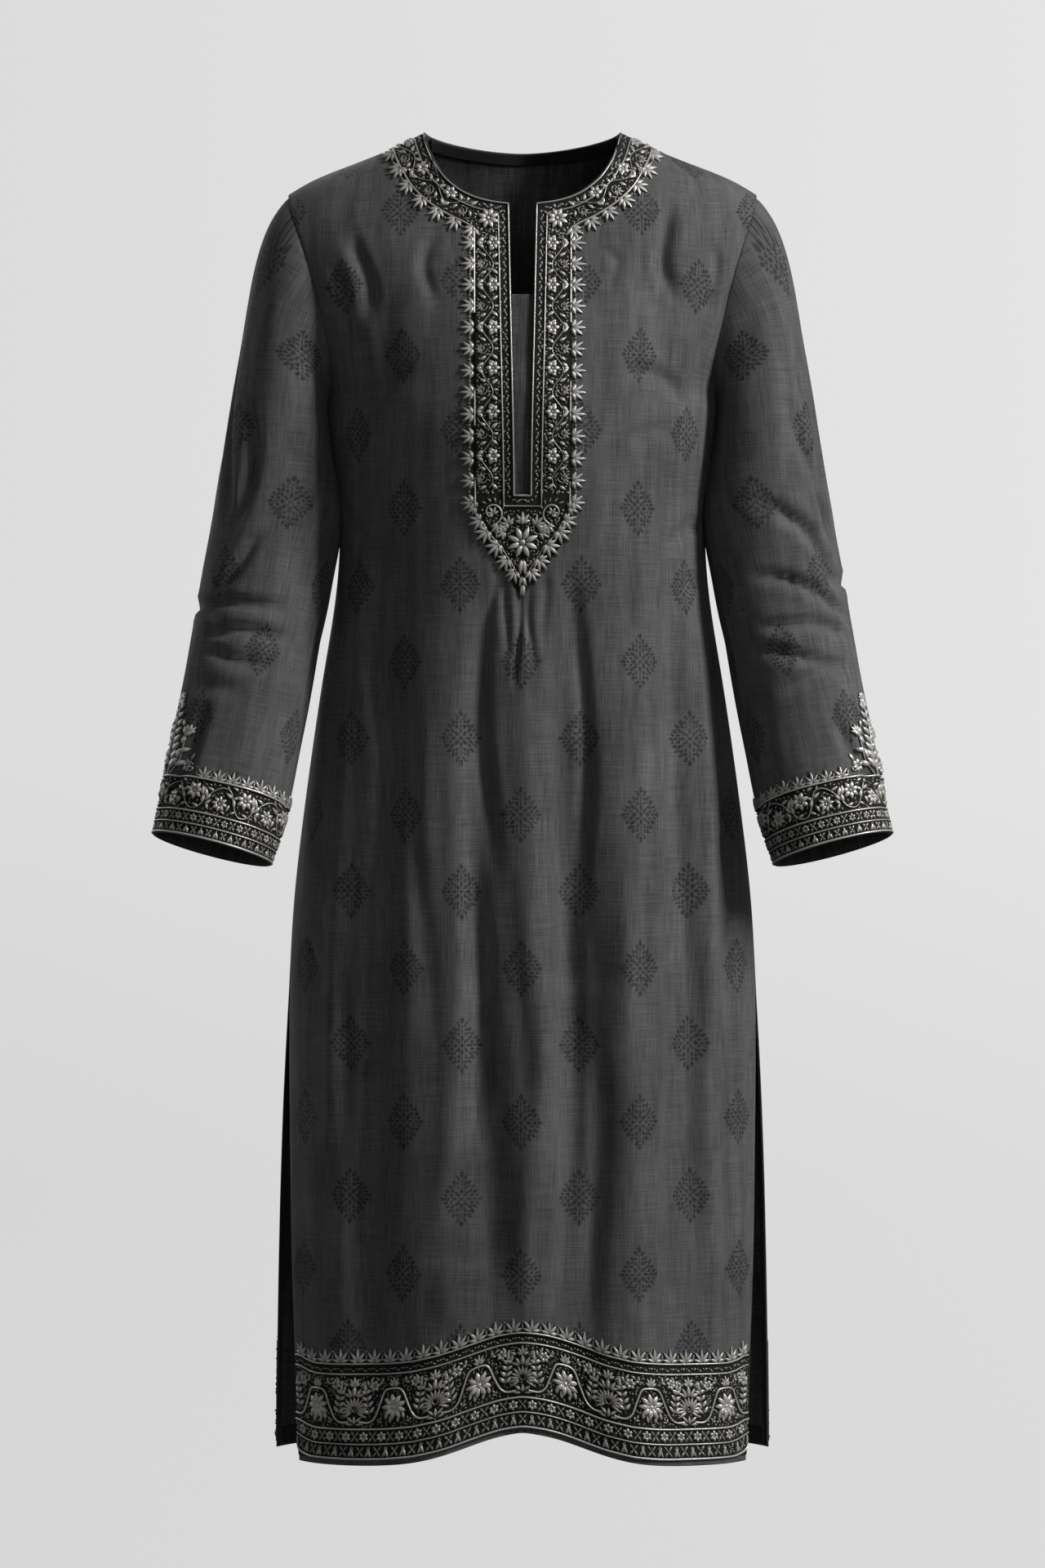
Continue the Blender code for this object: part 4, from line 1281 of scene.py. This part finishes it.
# %% [markdown]
# ## Cuffs
# Each cuff repeats the hem on a smaller scale: two bands of small stitches, a vine with leaves and broad
# flowers, and a crest. On the sleeve's outer line a spray of plump leaves climbs from the cuff.

# %% Draw a cuff
CUFF_ROUND = 296
ABOVE_CUFF = -0.44
VINES_ROUND = 7


def on_cuff(side_name):
    """Lays a drawing on a sleeve: x runs round the cuff from its outer line, and y up from the edge."""
    cloth = FlatSheet(side_name)

    def wrapped(u, v):
        """The flat map starts at the inner seam, so a point before it is a whole turn further on."""
        return u + SLEEVE_ROUND if u < -0.4 * SLEEVE_ROUND and not cloth.inside(u, v) else u

    grid = [SLEEVE_ROUND * (i / 48 - 0.5) for i in range(49)]
    edge = [ABOVE_CUFF - cloth.limit(wrapped(u, ABOVE_CUFF), ABOVE_CUFF, 0, -0.2) * 0.2 for u in grid]

    def place(x, y):
        u = x / CUFF_ROUND * SLEEVE_ROUND
        v = float(np.interp(u, grid, edge)) + y * MM
        return cloth.point(wrapped(u, v), v)

    print(side_name, "cuff edge:", round(min(edge), 3), round(max(edge), 3))
    return place


CUFF_VINE_LINE = (
    (0, 0.42), (0.12, 0.15), (0.3, 0.12), (0.42, 0.4), (0.52, 0.78), (0.68, 0.84), (0.84, 0.7), (1, 0.42),
)


def cuff_vine(drawing, x, wide, low, high):
    tall = high - low
    drawing.cord(smooth_line([(x + a * wide, low + b * tall) for a, b in CUFF_VINE_LINE], 2.0), 0.6)
    drawing.flower(x + 0.22 * wide, low + 0.62 * tall, tall * 0.28, 7, 15, 0.62)
    drawing.flower(x + 0.7 * wide, low + 0.36 * tall, tall * 0.26, 8, 5, 0.6)
    for a, b, turn, size in (
        (0.05, 0.3, 100, 8), (0.1, 0.16, 20, 6.5), (0.36, 0.24, -30, 6), (0.4, 0.34, 75, 7.5),
        (0.46, 0.58, 150, 6.5), (0.47, 0.6, 30, 7.5), (0.56, 0.82, 60, 4.5), (0.84, 0.7, 20, 7),
        (0.9, 0.6, -60, 7.5), (0.96, 0.48, 70, 9), (0.5, 0.4, -70, 7), (0.04, 0.5, 80, 9),
        (0.38, 0.86, 20, 6), (0.9, 0.12, 60, 6.5), (0.55, 0.1, 20, 5.5), (0.98, 0.25, 130, 7),
    ):
        drawing.leaf(x + a * wide, low + b * tall, turn, size, size * 0.42)
    for a, b in ((0.34, 0.9), (0.5, 0.1), (0.84, 0.16), (0.02, 0.85), (0.45, 0.9), (0.76, 0.9), (0.93, 0.86)):
        drawing.knot(x + a * wide, low + b * tall, 2.0)


def climbing_spray(drawing, across, foot):
    """Stems that rise from the cuff's top cord, with plump leaves in pairs, a few flowers and curls."""
    stem = [(across, foot), (across - 2, foot + 18), (across + 1.5, foot + 38), (across, foot + 60)]
    drawing.cord(smooth_line(stem, 3.0), 0.75)
    for index in range(8):
        y = foot + 6 + 7.2 * index
        for side in (-1, 1):
            size = 12.5 - 0.75 * index
            drawing.leaf(across + side * 0.6, y + (side > 0) * 3, 90 - side * 46, size, size * 0.5)
    for y, size in ((59, 9), (65, 8)):
        drawing.fan(across, foot + y, 90, size, 5, 120, 0.4)
    for side in (-1, 1):
        branch = [(across + side * a, foot + b) for a, b in ((3, 0), (11, 13), (13, 28))]
        drawing.cord(smooth_line(branch, 3.0), 0.6)
        for y, turn, size in (
            (8, 30, 9.5), (14, 80, 9), (20, 20, 9), (26, 75, 8.5), (33, 40, 8), (34, 100, 8),
        ):
            x = across + side * (6 + 0.2 * y)
            drawing.leaf(x, foot + y, 90 - side * (90 - turn), size, size * 0.5)
        drawing.flower(across + side * 18, foot + 9, 6.2, 6, 20)
        drawing.fan(across + side * 15, foot + 36, 90 - side * 14, 8, 5, 110, 0.4)
        drawing.cord(curl(across + side * 24, foot + 6.5, 3.8, 100, 1.1, side), 0.6)
        drawing.leaf(across + side * 21, foot + 13, 90 - side * 30, 8, 3.8)
        drawing.leaf(across + side * 10, foot + 41, 90 + side * 10, 7, 3.2)

# %% Stitch both cuffs
VINE_FOOT = 21
CUFF_TOP = 48.5
CUFF_CORDS = ((1.6, 1.0), (10.8, 0.75), (VINE_FOOT, 0.85), (CUFF_TOP, 0.95))
CUFF_BANDS = ((1.6, 10.8, 6.6, "leaves"), (10.8, VINE_FOOT, 6.8, "flowers"))
SPRAY_PLACE = -23
SPRAY_REACH = 30
half = CUFF_ROUND / 2
for side_name in ("sleeve_left", "sleeve_right"):
    place = on_cuff(side_name)
    cuff = Drawing()
    for height, radius in CUFF_CORDS:
        cuff.cord([Vector((x, height)) for x in np.linspace(-half, half, 90)], radius)
    for band in CUFF_BANDS:
        leaf_band(cuff, -half, half, *band)
    for index in range(VINES_ROUND):
        start = -half + index * CUFF_ROUND / VINES_ROUND
        cuff_vine(cuff, start, CUFF_ROUND / VINES_ROUND, VINE_FOOT, CUFF_TOP)
    cuff.fill([(-half, 22), (half, 22), (half, CUFF_TOP - 1), (-half, CUFF_TOP - 1)], 3.0, 6)
    for start, end in ((-half, SPRAY_PLACE - SPRAY_REACH), (SPRAY_PLACE + SPRAY_REACH, half)):
        crest(cuff, start, end, CUFF_TOP + 1, 12.5, 10)
    climbing_spray(cuff, SPRAY_PLACE, CUFF_TOP + 0.5)
    embroider("cuff_embroidery_" + side_name[7:], cuff, place, ON_GROUND)

# %% [markdown]
# ## How each piece is cut
# For every sheet, the flat rectangle it is cut from and the true area of its shape inside it are listed,
# and that area is printed beside the area the sheet shows. A body panel is cut wider at the hem than at the
# shoulder, and a sleeve narrows to the cuff.

# %% State the cut of each sheet
CUT = {
    "front_panel": ((0.50, 1.14), 0.47), "back_panel": ((0.53, 1.14), 0.49),
    "sleeve_left": ((0.42, 0.58), 0.155), "sleeve_right": ((0.42, 0.58), 0.155),
    "neck_border": ((0.224, 0.397), 0.029),
    "hem_border_front": ((0.43, 0.086), 0.0365), "hem_border_back": ((0.47, 0.086), 0.040),
    "cuff_border_left": ((0.30, 0.054), 0.0145), "cuff_border_right": ((0.30, 0.054), 0.0145),
    "placket_underlay": ((0.042, 0.184), 0.0072), "back_neck_binding": ((0.185, 0.013), 0.0022),
    "back_hem_turnup": ((0.44, 0.015), 0.0062), "slit_facing_left": ((0.012, 0.40), 0.0034),
    "slit_facing_right": ((0.012, 0.40), 0.0034),
}
for name, (flat, area) in CUT.items():
    piece = sheets.get(name) or strips[name]
    graph = bpy.context.evaluated_depsgraph_get()
    made = piece.evaluated_get(graph).to_mesh()
    print(f"{name}: cut {area} m2, shown {sum(face.area for face in made.polygons) / 2:.4f} m2")
